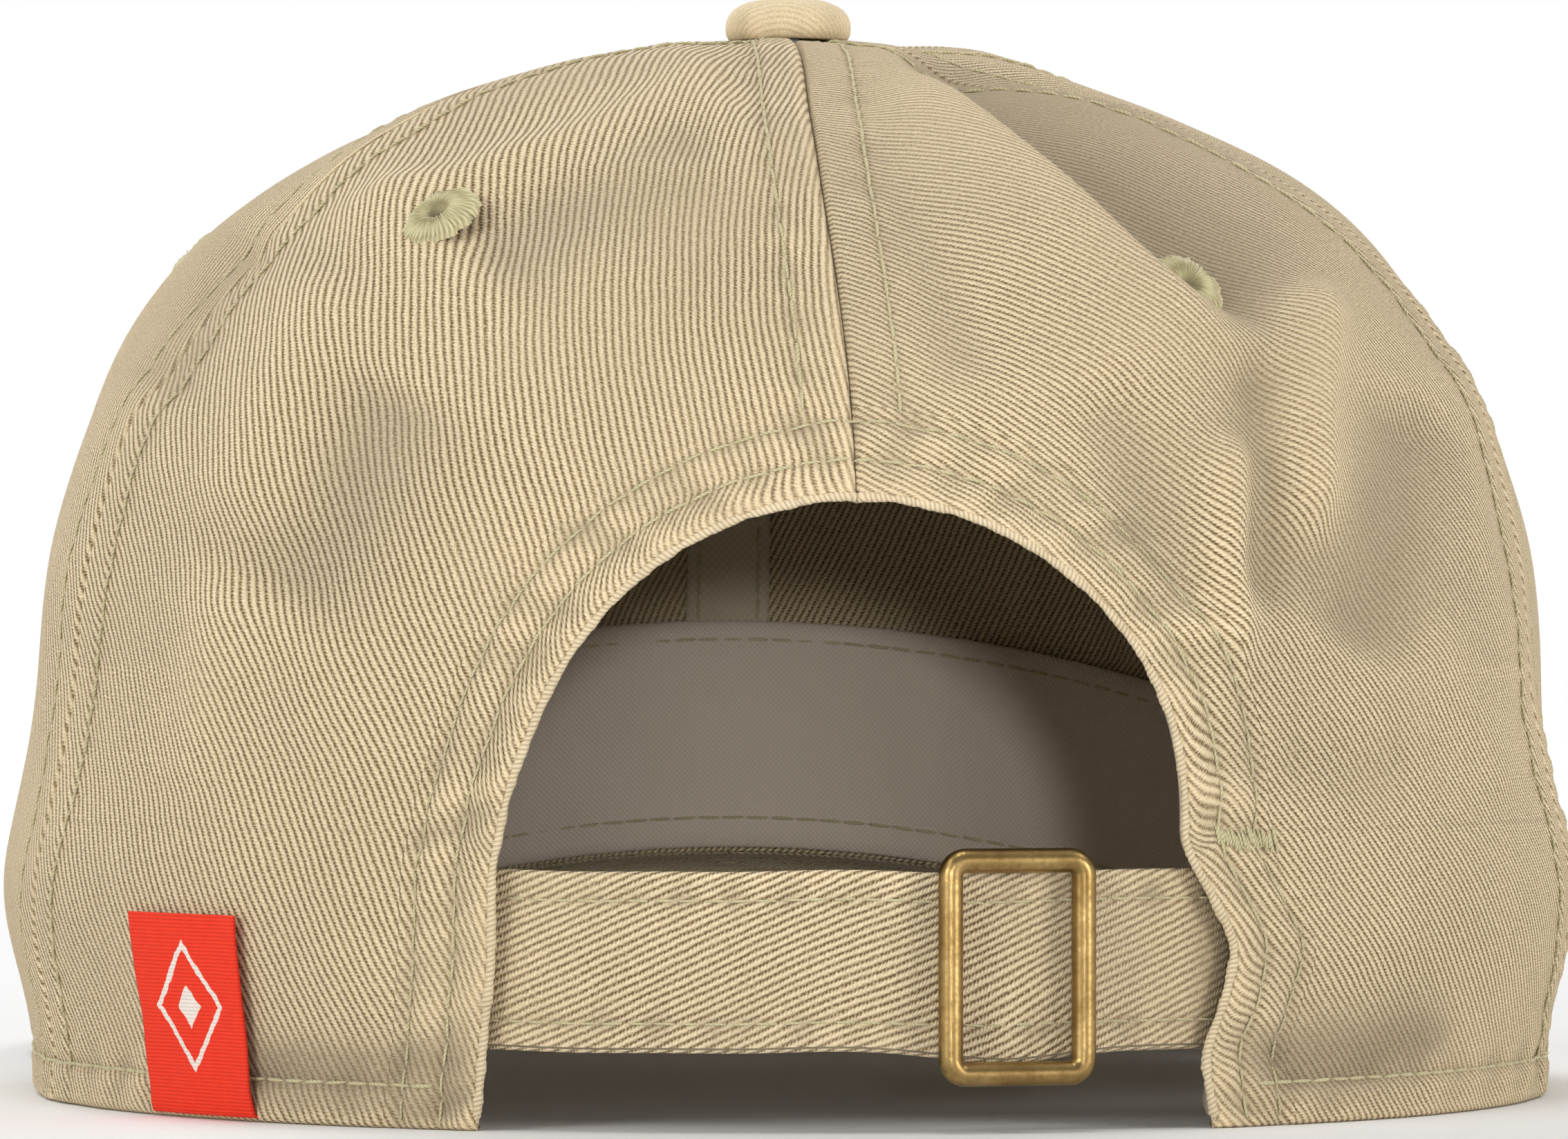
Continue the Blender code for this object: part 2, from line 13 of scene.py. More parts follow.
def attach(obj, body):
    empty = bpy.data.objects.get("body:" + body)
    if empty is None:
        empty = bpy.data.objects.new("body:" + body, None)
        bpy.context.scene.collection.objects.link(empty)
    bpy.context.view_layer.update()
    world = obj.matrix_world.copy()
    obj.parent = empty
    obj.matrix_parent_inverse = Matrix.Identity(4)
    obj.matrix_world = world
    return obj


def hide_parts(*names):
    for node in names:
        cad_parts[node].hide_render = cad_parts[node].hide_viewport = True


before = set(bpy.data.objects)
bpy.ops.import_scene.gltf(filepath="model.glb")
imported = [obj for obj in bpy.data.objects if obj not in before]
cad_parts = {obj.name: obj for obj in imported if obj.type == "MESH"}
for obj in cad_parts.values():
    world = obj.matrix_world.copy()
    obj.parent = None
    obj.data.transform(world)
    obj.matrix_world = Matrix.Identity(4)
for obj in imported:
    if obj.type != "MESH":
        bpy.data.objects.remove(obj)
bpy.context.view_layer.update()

MM = 0.001
DEG = np.pi / 180
TURN = 2 * np.pi

# Crown, as in part.py.
HALF_WIDTH = 88.4 * MM
HALF_LENGTH = 99 * MM
WALL_TOP = 50 * MM
DOME_HEIGHT = 73.5 * MM
DOME_FULLNESS = 2.2
WALL_SHARE = 0.28
SIDE_BULGE = 4.2 * MM
BULGE_HEIGHT = 24 * MM
BULGE_REACH = 14 * MM
TOP_LEVEL = 0.988
PANEL_THICKNESS = 1.2 * MM
HEM_RISE = 25 * MM
HEM_RISE_REACH = 100 * DEG
SEAMS = {
    "back": (0.0, 0.0),
    "side_left": (77 * DEG, 58 * DEG),
    "temple_left": (125 * DEG, 121 * DEG),
    "front": (180 * DEG, 180 * DEG),
    "temple_right": (-125 * DEG, -121 * DEG),
    "side_right": (-77 * DEG, -58 * DEG),
}
WANDER = 1.35 * DEG  # how far the back seam strays towards +X, where it strays most
WANDER_LEVEL = 0.7
ARCH_RADIUS = 37.5 * MM
ARCH_SPRING = 32 * MM
ARCH_FOOT = 40.5 * MM
EYELETS = {
    "back_left": (39 * DEG, 0.607),
    "side_left": (101 * DEG, 0.59),
    "front_left": (153.6 * DEG, 0.59),
    "front_right": (-153.6 * DEG, 0.59),
    "side_right": (-101 * DEG, 0.59),
    "back_right": (-33.1 * DEG, 0.559),
}
BUTTON_BASE = 123.8 * MM
BAND_DEPTH = 2.3 * MM
POCKET_EXTRA_LEFT = 2.0 * MM
POCKET_EXTRA_RIGHT = 4.4 * MM
POCKET_END = 57 * DEG
POCKET_FADE = 26 * DEG
BAND_HEIGHT = 30 * MM
BAND_LEFT_END = 27.2 * DEG
BAND_RIGHT_END = 24.6 * DEG

# Strap and buckle, as in part.py.
STRAP_AXIS_Y = 13 * MM
STRAP_RADIUS = 83.3 * MM
STRAP_THICKNESS = 1.2 * MM
STRAP_WIDTH = 19.8 * MM
STRAP_HEIGHT = 18.6 * MM
STRAP_SEWN_END = 41 * DEG
STRAP_TAIL_END = 49 * DEG
BUCKLE_AT = 11.8 * DEG
BUCKLE_WIDTH = 17.9 * MM
BUCKLE_HEIGHT = 25.9 * MM
WIRE_RADIUS = 1.35 * MM
ROCKING_ROOM = 0.85 * MM
BAR_RADIUS = 0.8 * MM
LOOP_LAYER = 0.85 * MM
LOOP_WIDTH = 19.0 * MM
LOOP_HEIGHT = 18.1 * MM
LOOP_END = 54 * DEG
LOOP_FACE = STRAP_RADIUS - STRAP_THICKNESS - 0.3 * MM
BAR_PLAY = 0.25 * MM
BAR_AT = LOOP_FACE - LOOP_LAYER - BAR_PLAY - BAR_RADIUS

# Visor and label, as in part.py.
VISOR_REACH = 62 * DEG
VISOR_CAMBER_RADIUS = 202 * MM
VISOR_PITCH = 0.10
VISOR_GAP = 0.8 * MM
VISOR_HEIGHT = 4.8 * MM
VISOR_EDGE = (
    (0, -167 * MM),
    (46 * MM, -159 * MM),
    (77 * MM, -137 * MM),
    (86.5 * MM, -104 * MM),
    (85.5 * MM, -72 * MM),
    (79 * MM, -49 * MM),
)
LABEL_AT = 52.5 * DEG
LABEL_WIDTH = 18 * MM
LABEL_TOP = 23 * MM

# Sewing.
SEAM_ROW = 6.0 * MM  # from a crown seam to each row of stitches beside it
ARCH_ROWS = (3.8 * MM, 8.0 * MM)  # rows round the arch, from its folded edge
HEM_ROW = 4.8 * MM
STRIP_WIDTH = 9.4 * MM  # finely meshed border of the back panels, along the arch
STITCH = 3.1 * MM
THREAD_RADIUS = 0.2 * MM
RIB_PITCH = 0.88 * MM
FLOAT_LENGTH = 0.46 * MM  # of one yarn float, along a rib
STRAP_RIB_PITCH = 0.83 * MM
BUTTON_RIB_PITCH = 0.8 * MM
EDGE_GAP = 0.05 * MM  # between the panels on either side of a seam
FOLD_RADIUS = PANEL_THICKNESS / 2
ROLL_DRAG = 2.6 * MM  # how far the arch's rolled edge is twisted along the arch
WRAP = np.array([-1.87, -1.6, -1.3, -1.0, -0.7, -0.35]) * MM  # places round a folded edge
EDGE_OUT = -0.05 * MM  # the roll of yarn along the arch: its place beyond the edge, in the
EDGE_DEPTH = 0.5 * MM  # cloth's depth, and its radius
EDGE_RADIUS = 0.5 * MM
BAR_TACK = ((-40.2 * MM, 32.4 * MM), (-47.6 * MM, 31.6 * MM))  # its two ends (x, height)
BAR_TACK_HEIGHT = 2.8 * MM
STRAP_ROW = 6.7 * MM  # from the strap's middle to each of its two rows of stitches
POCKET_MOUTH = -42.5 * MM  # where the strap goes behind the arch's right leg
SWEATBAND_ROWS = (4.8 * MM, 27.6 * MM)
TAPE_HALF_WIDTH = 6 * MM
VISOR_ROWS = [6 * MM + 7 * MM * row for row in range(8)]  # from its front edge
VISOR_HALF = 1.95 * MM  # half the thickness of the covered visor
VISOR_EXTRA = 1.7 * MM  # the cover's reach beyond the board
CREASE_HIGHLIGHT_AND_SHADE = (0.6, 1.8)  # painted highlight and painted shade: how much paler the top of a crease is, and how much darker a valley
LEAN_RISE = (45 * MM, 70 * MM)  # where up a panel the ribs' lean starts to change, and over what

# Colours: the rib, middle and valley of a twill, and the felt its ribs wear to.
TWILL = ((0.84, 0.71, 0.48), (0.57, 0.445, 0.272), (0.21, 0.135, 0.058))
BUTTON_CLOTH = ((0.80, 0.675, 0.455), (0.73, 0.60, 0.39), (0.64, 0.515, 0.325))
FELTED = (0.60, 0.475, 0.30)

# Surroundings.
FLOOR_REACH = 1.1
WALL_LIGHT = 1.0
CEILING_LIGHT = 0.2


# --- small helpers -----------------------------------------------------------------------


def mix(a, b, share):
    return a + (b - a) * share


def smoothstep(share):
    share = np.clip(share, 0, 1)
    return share * share * (3 - 2 * share)


def bump(distance, width):
    return np.exp(-((distance / width) ** 2))


def unit(vectors):
    return vectors / np.maximum(np.linalg.norm(vectors, axis=-1, keepdims=True), 1e-12)


def run_lengths(points):
    """The distance along a line of points, from its first."""
    steps = np.linalg.norm(np.diff(points, axis=0), axis=1)
    return np.concatenate([[0], np.cumsum(steps)])


def waves(points, size, seed, count=14):
    """Smooth noise of about -1 to 1, whose waves are near the given size."""
    random = np.random.default_rng(seed)
    total = np.zeros(points.shape[:-1])
    for _ in range(count):
        direction = unit(random.normal(size=points.shape[-1]))
        pace = TURN / size * random.uniform(0.65, 1.45)
        total += np.sin(points @ direction * pace + random.uniform(0, TURN))
    return total / np.sqrt(count / 2) / 1.6


# --- the crown's outer face --------------------------------------------------------------


def hem_height(azimuth):
    from_front = np.pi - np.abs(azimuth)
    return HEM_RISE * np.cos(np.minimum(from_front / HEM_RISE_REACH, 1) * np.pi / 2) ** 2


def crown(azimuth, level):
    """Points of the crown's face as the CAD has it. The level is 0 at the hem, 1 at the apex.
    Places near the back seam lie a little to the left there, as washed cloth has shifted."""
    azimuth, level = np.broadcast_arrays(azimuth, level)
    climb = np.clip((level - WALL_SHARE) / (1 - WALL_SHARE), 0, 1) * np.pi / 2
    shift = WANDER * np.exp(-(((level - WANDER_LEVEL) / 0.2) ** 2))
    azimuth = azimuth + shift * np.exp(-((azimuth / (28 * DEG)) ** 2)) / np.cos(climb * 0.93)
    hem = hem_height(azimuth)
    wall = hem + (WALL_TOP - hem) * level / WALL_SHARE
    dome = WALL_TOP + DOME_HEIGHT * np.sin(climb) ** (2 / DOME_FULLNESS)
    height = np.where(level < WALL_SHARE, wall, dome)
    spread = np.maximum(np.cos(climb), 1e-9) ** (2 / DOME_FULLNESS)
    swell = bump(height - BULGE_HEIGHT, BULGE_REACH)
    half_width = HALF_WIDTH * spread + SIDE_BULGE * swell * np.sin(azimuth) ** 2
    return np.stack(
        [half_width * np.sin(azimuth), HALF_LENGTH * spread * np.cos(azimuth), height], -1
    )


def crown_normal(azimuth, level):
    step = 0.002
    around = crown(azimuth + step, level) - crown(azimuth - step, level)
    upward = crown(azimuth, level + step) - crown(azimuth, level - step)
    return unit(np.cross(upward, around))


def level_at(azimuth, height):
    """The level of a height above the floor."""
    hem = hem_height(azimuth)
    wall = (height - hem) / (WALL_TOP - hem) * WALL_SHARE
    share = np.clip((height - WALL_TOP) / DOME_HEIGHT, 0, 1)
    climb = np.arcsin(share ** (DOME_FULLNESS / 2))
    dome = WALL_SHARE + (1 - WALL_SHARE) * climb / (np.pi / 2)
    return np.where(height < WALL_TOP, wall, dome)


def azimuth_of(x, height):
    """The azimuth, on the crown's back half, of a place seen from behind."""
    share = np.clip((height - WALL_TOP) / DOME_HEIGHT, 0, 1)
    spread = np.maximum(1 - share**DOME_FULLNESS, 1e-9) ** (1 / DOME_FULLNESS)
    swell = bump(height - BULGE_HEIGHT, BULGE_REACH)
    sine = x / (HALF_WIDTH * spread)
    for _ in range(6):
        sine = x / (HALF_WIDTH * spread + SIDE_BULGE * swell * sine**2)
    return np.arcsin(np.clip(sine, -0.999, 0.999))


LEVELS = np.linspace(0, 1, 1001)
LENGTHS = run_lengths(crown(np.full(1001, 50 * DEG), LEVELS))


def length_of(level):
    """Distance up the crown from the hem, along a meridian."""
    below = np.minimum(level, 0) * LENGTHS[10] / LEVELS[10]
    return np.interp(level, LEVELS, LENGTHS) + below


def level_of(length):
    return np.interp(length, LENGTHS, LEVELS)


def seam_azimuth(seam, level):
    return mix(seam[0], seam[1], level)


def seam_distance(points, azimuth, level, seam):
    """Distance from a seam along the surface, nearly, and its sign."""
    apart = (azimuth - seam_azimuth(seam, level) + np.pi) % TURN - np.pi
    return apart * np.hypot(points[..., 0], points[..., 1])


def row_offset(points):
    """How far a stitch row lies from its seam: less near the button, where panels are narrow."""
    return np.minimum(SEAM_ROW, 0.36 * np.hypot(points[..., 0], points[..., 1]))


# --- the arch at the back ----------------------------------------------------------------

# Where the legs of the arch lie away from the CAD's outline: (height, shift outwards) in mm.
LEG_LEFT = ((0, 0.9), (9, 1.0), (18, 0.9), (29, 1.8), (36, 0.8), (43, 0.0))
LEG_RIGHT = ((0, -0.2), (8, -0.9), (14, 2.2), (20, 4.2), (26, 1.6), (31, -1.0), (38, -0.4), (45, 0))


def leg_shift(height, side):
    table = np.array(LEG_LEFT if side > 0 else LEG_RIGHT) * MM
    fine = np.linspace(0, table[-1, 0], 60)
    coarse = np.interp(fine, table[:, 0], table[:, 1])
    soft = np.convolve(np.pad(coarse, 4, mode="edge"), np.hanning(11)[1:-1] / 5, mode="valid")
    return np.interp(height, fine, soft, right=0)


def arch_point(along, out, side):
    """A place, seen from behind, at a distance outside the arch's edge. Along is 0 at the foot
    of the leg, 1 where it meets the half-round and 2 at the top."""
    turn = np.maximum(along - 1, 0) * np.pi / 2
    leg_height = ARCH_SPRING * np.minimum(along, 1)
    on_leg = along < 1
    spread = ARCH_RADIUS + (ARCH_FOOT - ARCH_RADIUS) * (1 - leg_height / ARCH_SPRING)
    x = np.where(on_leg, spread + out, (ARCH_RADIUS + out) * np.cos(turn))
    height = np.where(on_leg, leg_height, ARCH_SPRING + (ARCH_RADIUS + out) * np.sin(turn))
    return x + leg_shift(height, side), height


def round_arch(along, out, skipped=1):
    """Azimuths and levels from the foot of the left leg, round the arch, to the right foot.
    Skipped is how many places at the top the right half leaves out, as the left has them."""
    halves = []
    for side in (1, -1):
        x, height = arch_point(along, out, side)
        azimuth = azimuth_of(x, height)
        halves.append((side * azimuth, level_at(azimuth, height)))
    return [np.concatenate([left, right[::-1][skipped:]]) for left, right in zip(*halves)]


def arch_distance(points, side):
    """Distance outside the arch's edge, seen from behind."""
    across = np.abs(points[..., 0]) - leg_shift(points[..., 2], side)
    height = points[..., 2]
    leg = ARCH_RADIUS + (ARCH_FOOT - ARCH_RADIUS) * (1 - height / ARCH_SPRING)
    round_part = np.hypot(across, height - ARCH_SPRING) - ARCH_RADIUS
    return np.where(height < ARCH_SPRING, across - leg, round_part)


def arch_length(points):
    """Distance along the arch from the foot of its leg."""
    height = points[..., 2]
    turn = np.arctan2(height - ARCH_SPRING, np.abs(points[..., 0]))
    return np.where(height < ARCH_SPRING, height, ARCH_SPRING + ARCH_RADIUS * turn)


# --- folds and relief --------------------------------------------------------------------

# Creases of the back panels, in mm: the points (x, height above the floor) of a line, how far
# the cloth stands out along it (below 0 for a valley), and its widths on the line's left and
# right, for someone who follows the line and sees the cap from behind.
CREASES = (
    (((-6, 120), (-14, 115), (-21, 107.5), (-28, 100), (-35.5, 92), (-48, 81)), 2.8, 2.8, 13),
    (((-9, 121), (-17, 117), (-25, 109.8), (-33, 102.5), (-40.5, 96), (-53, 85)), -4.8, 10, 2.8),
    (((-54.5, 95), (-54, 86), (-53, 77), (-52.5, 62)), 2.8, 3.5, 5),
    (((-46, 88), (-47.5, 78), (-47, 66), (-47, 54)), -2.2, 4, 4),
    (((-43, 78), (-42.7, 70), (-42.5, 62), (-42.6, 47)), 2.4, 2.4, 3),
    (((-28, 84), (-33, 70), (-38, 55)), -1.6, 6, 6),
    (((-68, 82), (-65, 72), (-62, 60), (-58, 50)), -2.5, 6.5, 8),
    (((-73, 88), (-76, 74), (-76, 58)), 0.5, 5, 5),
    (((8, 120), (24, 112), (40, 105), (58, 99)), 3.0, 8, 3.5),
    (((10, 114), (28, 106), (45, 97)), -3.0, 8, 7),
    (((49, 84), (52.6, 77), (57, 66), (65, 56)), -2.0, 7, 7),
    (((54, 96), (62, 82), (70, 64)), 1.8, 6, 7),
    (((62, 100.5), (69.3, 92.6), (77, 79)), -1.4, 4, 4),
    (((8, 106), (20, 107), (32, 106)), 0.6, 2.0, 2.0),
    (((-3, 112), (-10, 96), (-14, 80)), -1.2, 5, 5),
    (((66, 62), (70, 48), (73, 34)), 1.4, 5, 6),
    (((-66, 56), (-74, 44), (-80, 34)), 1.2, 6, 6),
    (((-46, 40), (-56, 38), (-66, 38)), -1.0, 5, 5),
)
# Creases above the hem, laid out as above. Their valleys are kept shallow in the cloth's shape and
# show mostly as painted shade.
HEM_CREASES = (
    (((-42, 6.0), (-52, 6.6), (-60, 7.2), (-72, 9.5)), -4.8, 4.0, 2.4),
    (((-46, 17), (-56, 19), (-68, 22)), 0.5, 6, 6),
    (((76, 8), (66, 6.6), (50, 6.2), (38, 6.4)), -4.8, 2.4, 3.8),
    (((62, 17), (50, 18), (42, 18)), 0.5, 6, 6),
)


def crease_height(points, creases):
    """How far creases lift the cloth at points of the back half. They fade at their ends."""
    total = np.zeros(points.shape[:-1])
    place = points[..., [0, 2]]
    for line, height, left, right in creases:
        line = np.array(line) * MM
        best = np.full(place.shape[:-1], np.inf)
        value = np.zeros(place.shape[:-1])
        count = len(line) - 1
        for i in range(count):
            along = line[i + 1] - line[i]
            span = along @ along
            raw = ((place - line[i]) @ along) / span
            share = np.clip(raw, 0, 1)
            offset = place - line[i] - share[..., None] * along
            distance = np.hypot(offset[..., 0], offset[..., 1])
            cross = along[0] * offset[..., 1] - along[1] * offset[..., 0]
            on_right = smoothstep(cross / np.sqrt(span) / (1.5 * MM) + 0.5)
            width = mix(left, right, on_right) * MM
            at = (i + share) / count
            ends = smoothstep(at / 0.2) * smoothstep((1 - at) / 0.2)
            nearer = distance < best
            best = np.where(nearer, distance, best)
            value = np.where(nearer, ends / (1 + (distance / width) ** 2) ** 1.5, value)
        total += value * height * MM
    return total * smoothstep(points[..., 1] / (15 * MM))


def creased(points, level):
    """How far all the creases lift the cloth."""
    height = points[..., 2]
    loose = smoothstep((height - 26 * MM) / (22 * MM)) * smoothstep((0.985 - level) / 0.08)
    return crease_height(points, CREASES) * loose + crease_height(points, HEM_CREASES)


def drape(azimuth, level):
    """The soft large shape of the washed cloth, off the CAD's face."""
    points = crown(azimuth, level)
    height = points[..., 2]
    loose = smoothstep((height - 26 * MM) / (22 * MM)) * smoothstep((0.97 - level) / 0.1)
    front = smoothstep((np.abs(azimuth) - 90 * DEG) / (50 * DEG))
    soft = waves(points, 52 * MM, 3) * mix(0.7, 1.6, front) * MM
    fine = waves(points, 21 * MM, 8) * mix(0.22, 0.5, front) * MM
    slack = 0.12 * MM * waves(points, 24 * MM, 5)
    lift = creased(points, level) + (soft + fine) * loose + slack - 0.15 * MM
    ahead = smoothstep(-points[..., 1] / (20 * MM)) * smoothstep((62 * MM - height) / (14 * MM))
    low = np.maximum(ahead, smoothstep((36 * MM - height) / (6 * MM)))
    clear = np.maximum(lift, -0.3 * MM)  # of the sweatband, the strap and its loop
    return mix(lift, clear, low)


def sewn_relief(azimuth, level):
    """The fine relief of seams, folded edges and stitch rows. Returns it, and a tone for each
    place: paler (above 0) where edges are worn and as painted highlight on crease and pucker tops,
    darker (below 0) as painted shade in folds, grooves and stitch rows."""
    points = crown(azimuth, level)
    height = points[..., 2]
    relief = np.zeros(points.shape[:-1])
    # Painted highlight on the tops of creases and painted shade in their valleys.
    lifted = np.tanh(creased(points, level) / (2.6 * MM))
    wear_and_shade = np.where(lifted > 0, CREASE_HIGHLIGHT_AND_SHADE[0], CREASE_HIGHLIGHT_AND_SHADE[1]) * lifted
    length = length_of(level)
    arch = np.full(relief.shape, 1.0)
    behind = points[..., 1] > 0
    side = np.sign(azimuth)
    for hand in (1, -1):
        mask = behind & (side == hand)
        arch = np.where(mask, arch_distance(points, hand), arch)
    beyond_arch = smoothstep((arch - 8 * MM) / (2.5 * MM))
    above_hem = height - hem_height(azimuth)
    beyond_hem = smoothstep((above_hem - 4 * MM) / (2.5 * MM))
    row = row_offset(points)
    for index, (name, seam) in enumerate(SEAMS.items()):
        signed = seam_distance(points, azimuth, level, seam)
        distance = np.abs(signed)
        allowance = smoothstep((row + 1.4 * MM - distance) / (1.6 * MM))
        groove = bump(distance, 0.42 * MM)
        raised = smoothstep(signed / (0.8 * MM) + 0.5) if name == "back" else 0.5
        valley = bump(distance - row, 0.75 * MM)
        place = np.stack([length, signed * 0.4], -1)
        pucker = waves(place, 6.6 * MM, 20 + index, 7)
        reach = bump(distance - row, 2.6 * MM)
        pucker = pucker * (1.0 if name == "back" else 0.55)
        relief += (0.3 + 0.24 * raised) * MM * allowance - 0.65 * MM * groove
        relief += (-0.34 * MM * valley + 0.17 * MM * pucker * reach) * beyond_arch
        # Painted shade in the stitch-row valleys; puckers paler on their tops as worn, and darker
        # between them as painted shade.
        wear_and_shade += (-0.4 * valley + 0.35 * pucker * reach) * beyond_arch
        # Painted shade in the seam's groove, broken into rungs.
        rungs = 0.5 + 0.5 * np.sin(length / (2.1 * MM) * TURN + 3 * pucker)
        wear_and_shade += -(0.5 + 0.9 * rungs) * bump(distance, 0.32 * MM)
        # Paler beside the seam as worn, most on its raised side; a little darker on the back seam's
        # low side, painted shade.
        wear_and_shade += mix(-0.1, 0.8, raised) * bump(distance - 1.0 * MM, 0.7 * MM)
    along = arch_length(points)
    allowance = smoothstep((ARCH_ROWS[1] + 0.8 * MM - arch) / (1.6 * MM))
    relief += 0.5 * MM * allowance
    place = np.stack([along + 0.55 * arch, arch * 0.3], -1)
    pucker = waves(place, 5.2 * MM, 31, 7)
    within = smoothstep((11.5 * MM - arch) / (4 * MM)) * smoothstep(arch / (1.2 * MM))
    relief += 0.2 * MM * pucker * within
    # Puckers paler on their tops as worn, and darker between them as painted shade.
    wear_and_shade += 0.4 * pucker * within
    for out in ARCH_ROWS:
        relief += -0.36 * MM * bump(arch - out, 0.7 * MM)
        # Painted shade along each row of stitches round the arch.
        wear_and_shade += -0.55 * bump(arch - out, 0.7 * MM)
    wear_and_shade += 0.6 * bump(arch - 0.6 * MM, 0.9 * MM)
    allowance = smoothstep((HEM_ROW + 0.8 * MM - above_hem) / (1.6 * MM)) * beyond_arch
    around = azimuth * 90 * MM
    place = np.stack([around + 0.5 * above_hem, above_hem * 0.3], -1)
    pucker = waves(place, 7.5 * MM, 41, 7)
    within = smoothstep((9 * MM - above_hem) / (4 * MM)) * smoothstep(above_hem / (1.2 * MM))
    relief += 0.45 * MM * allowance + 0.16 * MM * pucker * within * beyond_arch
    # Puckers paler on their tops as worn, and darker between them as painted shade.
    wear_and_shade += 0.35 * pucker * within * beyond_arch
    valley = bump(above_hem - HEM_ROW, 0.8 * MM) * beyond_arch
    relief += -0.36 * MM * valley
    # Painted shade along the hem's row of stitches.
    wear_and_shade += -0.6 * valley
    wear_and_shade += 0.55 * bump(above_hem - 0.6 * MM, 0.9 * MM)
    return relief, wear_and_shade


def skin(azimuth, level, lift=0.0):
    """A point of the finished cloth's outer face, lifted off it."""
    relief, _ = sewn_relief(azimuth, level)
    off = drape(azimuth, level) + relief + lift
    return crown(azimuth, level) + crown_normal(azimuth, level) * off[..., None]


def lining_side(azimuth, level, depth):
    """A point inside the crown, a depth in from the cloth's soft shape."""
    off = drape(azimuth, level) - depth
    return crown(azimuth, level) + crown_normal(azimuth, level) * off[..., None]


# --- meshes ------------------------------------------------------------------------------


def grid_faces(rows, columns, closed=False):
    """Quads of a grid of rows by columns points. A closed grid joins its last column to its first."""
    first = np.arange(rows - 1)[:, None] * columns
    column = np.arange(columns if closed else columns - 1)[None, :]
    after = (column + 1) % columns
    corners = (first + column, first + after, first + columns + after, first + columns + column)
    return np.stack([np.broadcast_to(c, corners[0].shape) for c in corners], -1).reshape(-1, 4)


def linked(name, data):
    """A new object of the scene."""
    obj = bpy.data.objects.new(name, data)
    bpy.context.scene.collection.objects.link(obj)
    return obj


def build(name, points, faces, finish, uv=None, wear_and_shade=None, corner_uv=None):
    """A smooth mesh object of quads. UVs are by point, or by face corner."""
    points = np.asarray(points, np.float64).reshape(-1, 3)
    faces = np.asarray(faces, np.int64)
    mesh = bpy.data.meshes.new(name)
    mesh.vertices.add(len(points))
    mesh.vertices.foreach_set("co", points.astype(np.float32).ravel())
    mesh.loops.add(faces.size)
    mesh.loops.foreach_set("vertex_index", faces.astype(np.int32).ravel())
    mesh.polygons.add(len(faces))
    mesh.polygons.foreach_set("loop_start", np.arange(0, faces.size, 4, dtype=np.int32))
    mesh.update(calc_edges=True)
    if uv is not None:
        corner_uv = np.asarray(uv).reshape(-1, 2)[faces.ravel()]
    if corner_uv is not None:
        layer = mesh.uv_layers.new(name="UVMap")
        layer.data.foreach_set("uv", corner_uv.astype(np.float32).ravel())
    # A tone per point: real wear on edges, and painted highlight and painted shade on creases,
    # puckers, grooves and stitch rows.
    if wear_and_shade is not None:
        attribute = mesh.attributes.new("wear_and_shade", "FLOAT", "POINT")
        attribute.data.foreach_set("value", np.asarray(wear_and_shade, np.float32).ravel())
    mesh.validate()
    mesh.shade_smooth()
    mesh.materials.append(finish)
    return linked(name, mesh)


def face_outwards(points, faces, normals):
    """Turns the faces round if they look against the given normals."""
    corners = points[faces]
    looks = np.cross(corners[:, 1] - corners[:, 0], corners[:, 2] - corners[:, 0])
    agree = (looks * normals[faces[:, 0]]).sum(-1)
    return faces if agree.sum() > 0 else faces[:, ::-1]


def shell(name, outer, inner, normals, faces, finish, uv, wear_and_shade, folded=None):
    """A closed skin: the outer faces, an inner copy, and walls along the border. Folded marks
    points of the outer faces that already turn round an edge, and so have no inner copy."""
    faces = face_outwards(outer, faces, normals)
    count = len(outer)
    folded = np.zeros(count, bool) if folded is None else folded
    starts = faces
    ends = np.roll(faces, -1, axis=1)
    keys = (starts * count + ends).ravel()
    back = (ends * count + starts).ravel()
    border = ~np.isin(keys, back)
    a, b = starts.ravel()[border], ends.ravel()[border]
    plain = ~(folded[a] | folded[b])
    walls = np.stack([b, a, a + count, b + count], -1)[plain]
    copied = faces[~folded[faces].any(axis=1)]
    everything = np.concatenate([faces, copied[:, ::-1] + count, walls])
    points = np.concatenate([outer, inner])
    used = np.unique(everything)
    renumber = np.zeros(2 * count, np.int64)
    renumber[used] = np.arange(len(used))
    uv = np.concatenate([uv, uv])[used]
    wear_and_shade = np.concatenate([wear_and_shade, np.zeros(count)])[used]
    return build(name, points[used], renumber[everything], finish, uv, wear_and_shade)


def spaced(stops, steps):
    """Values from stop to stop, with about the given step at each stop, growing between."""
    values = [stops[0]]
    for low, high, first, last in zip(stops[:-1], stops[1:], steps[:-1], steps[1:]):
        count = max(int(round((high - low) / (0.5 * (first + last)))), 1)
        weights = np.linspace(first, last, count)
        values.extend(low + (high - low) * np.cumsum(weights) / weights.sum())
    return np.array(values)


# --- cloth coordinates -------------------------------------------------------------------


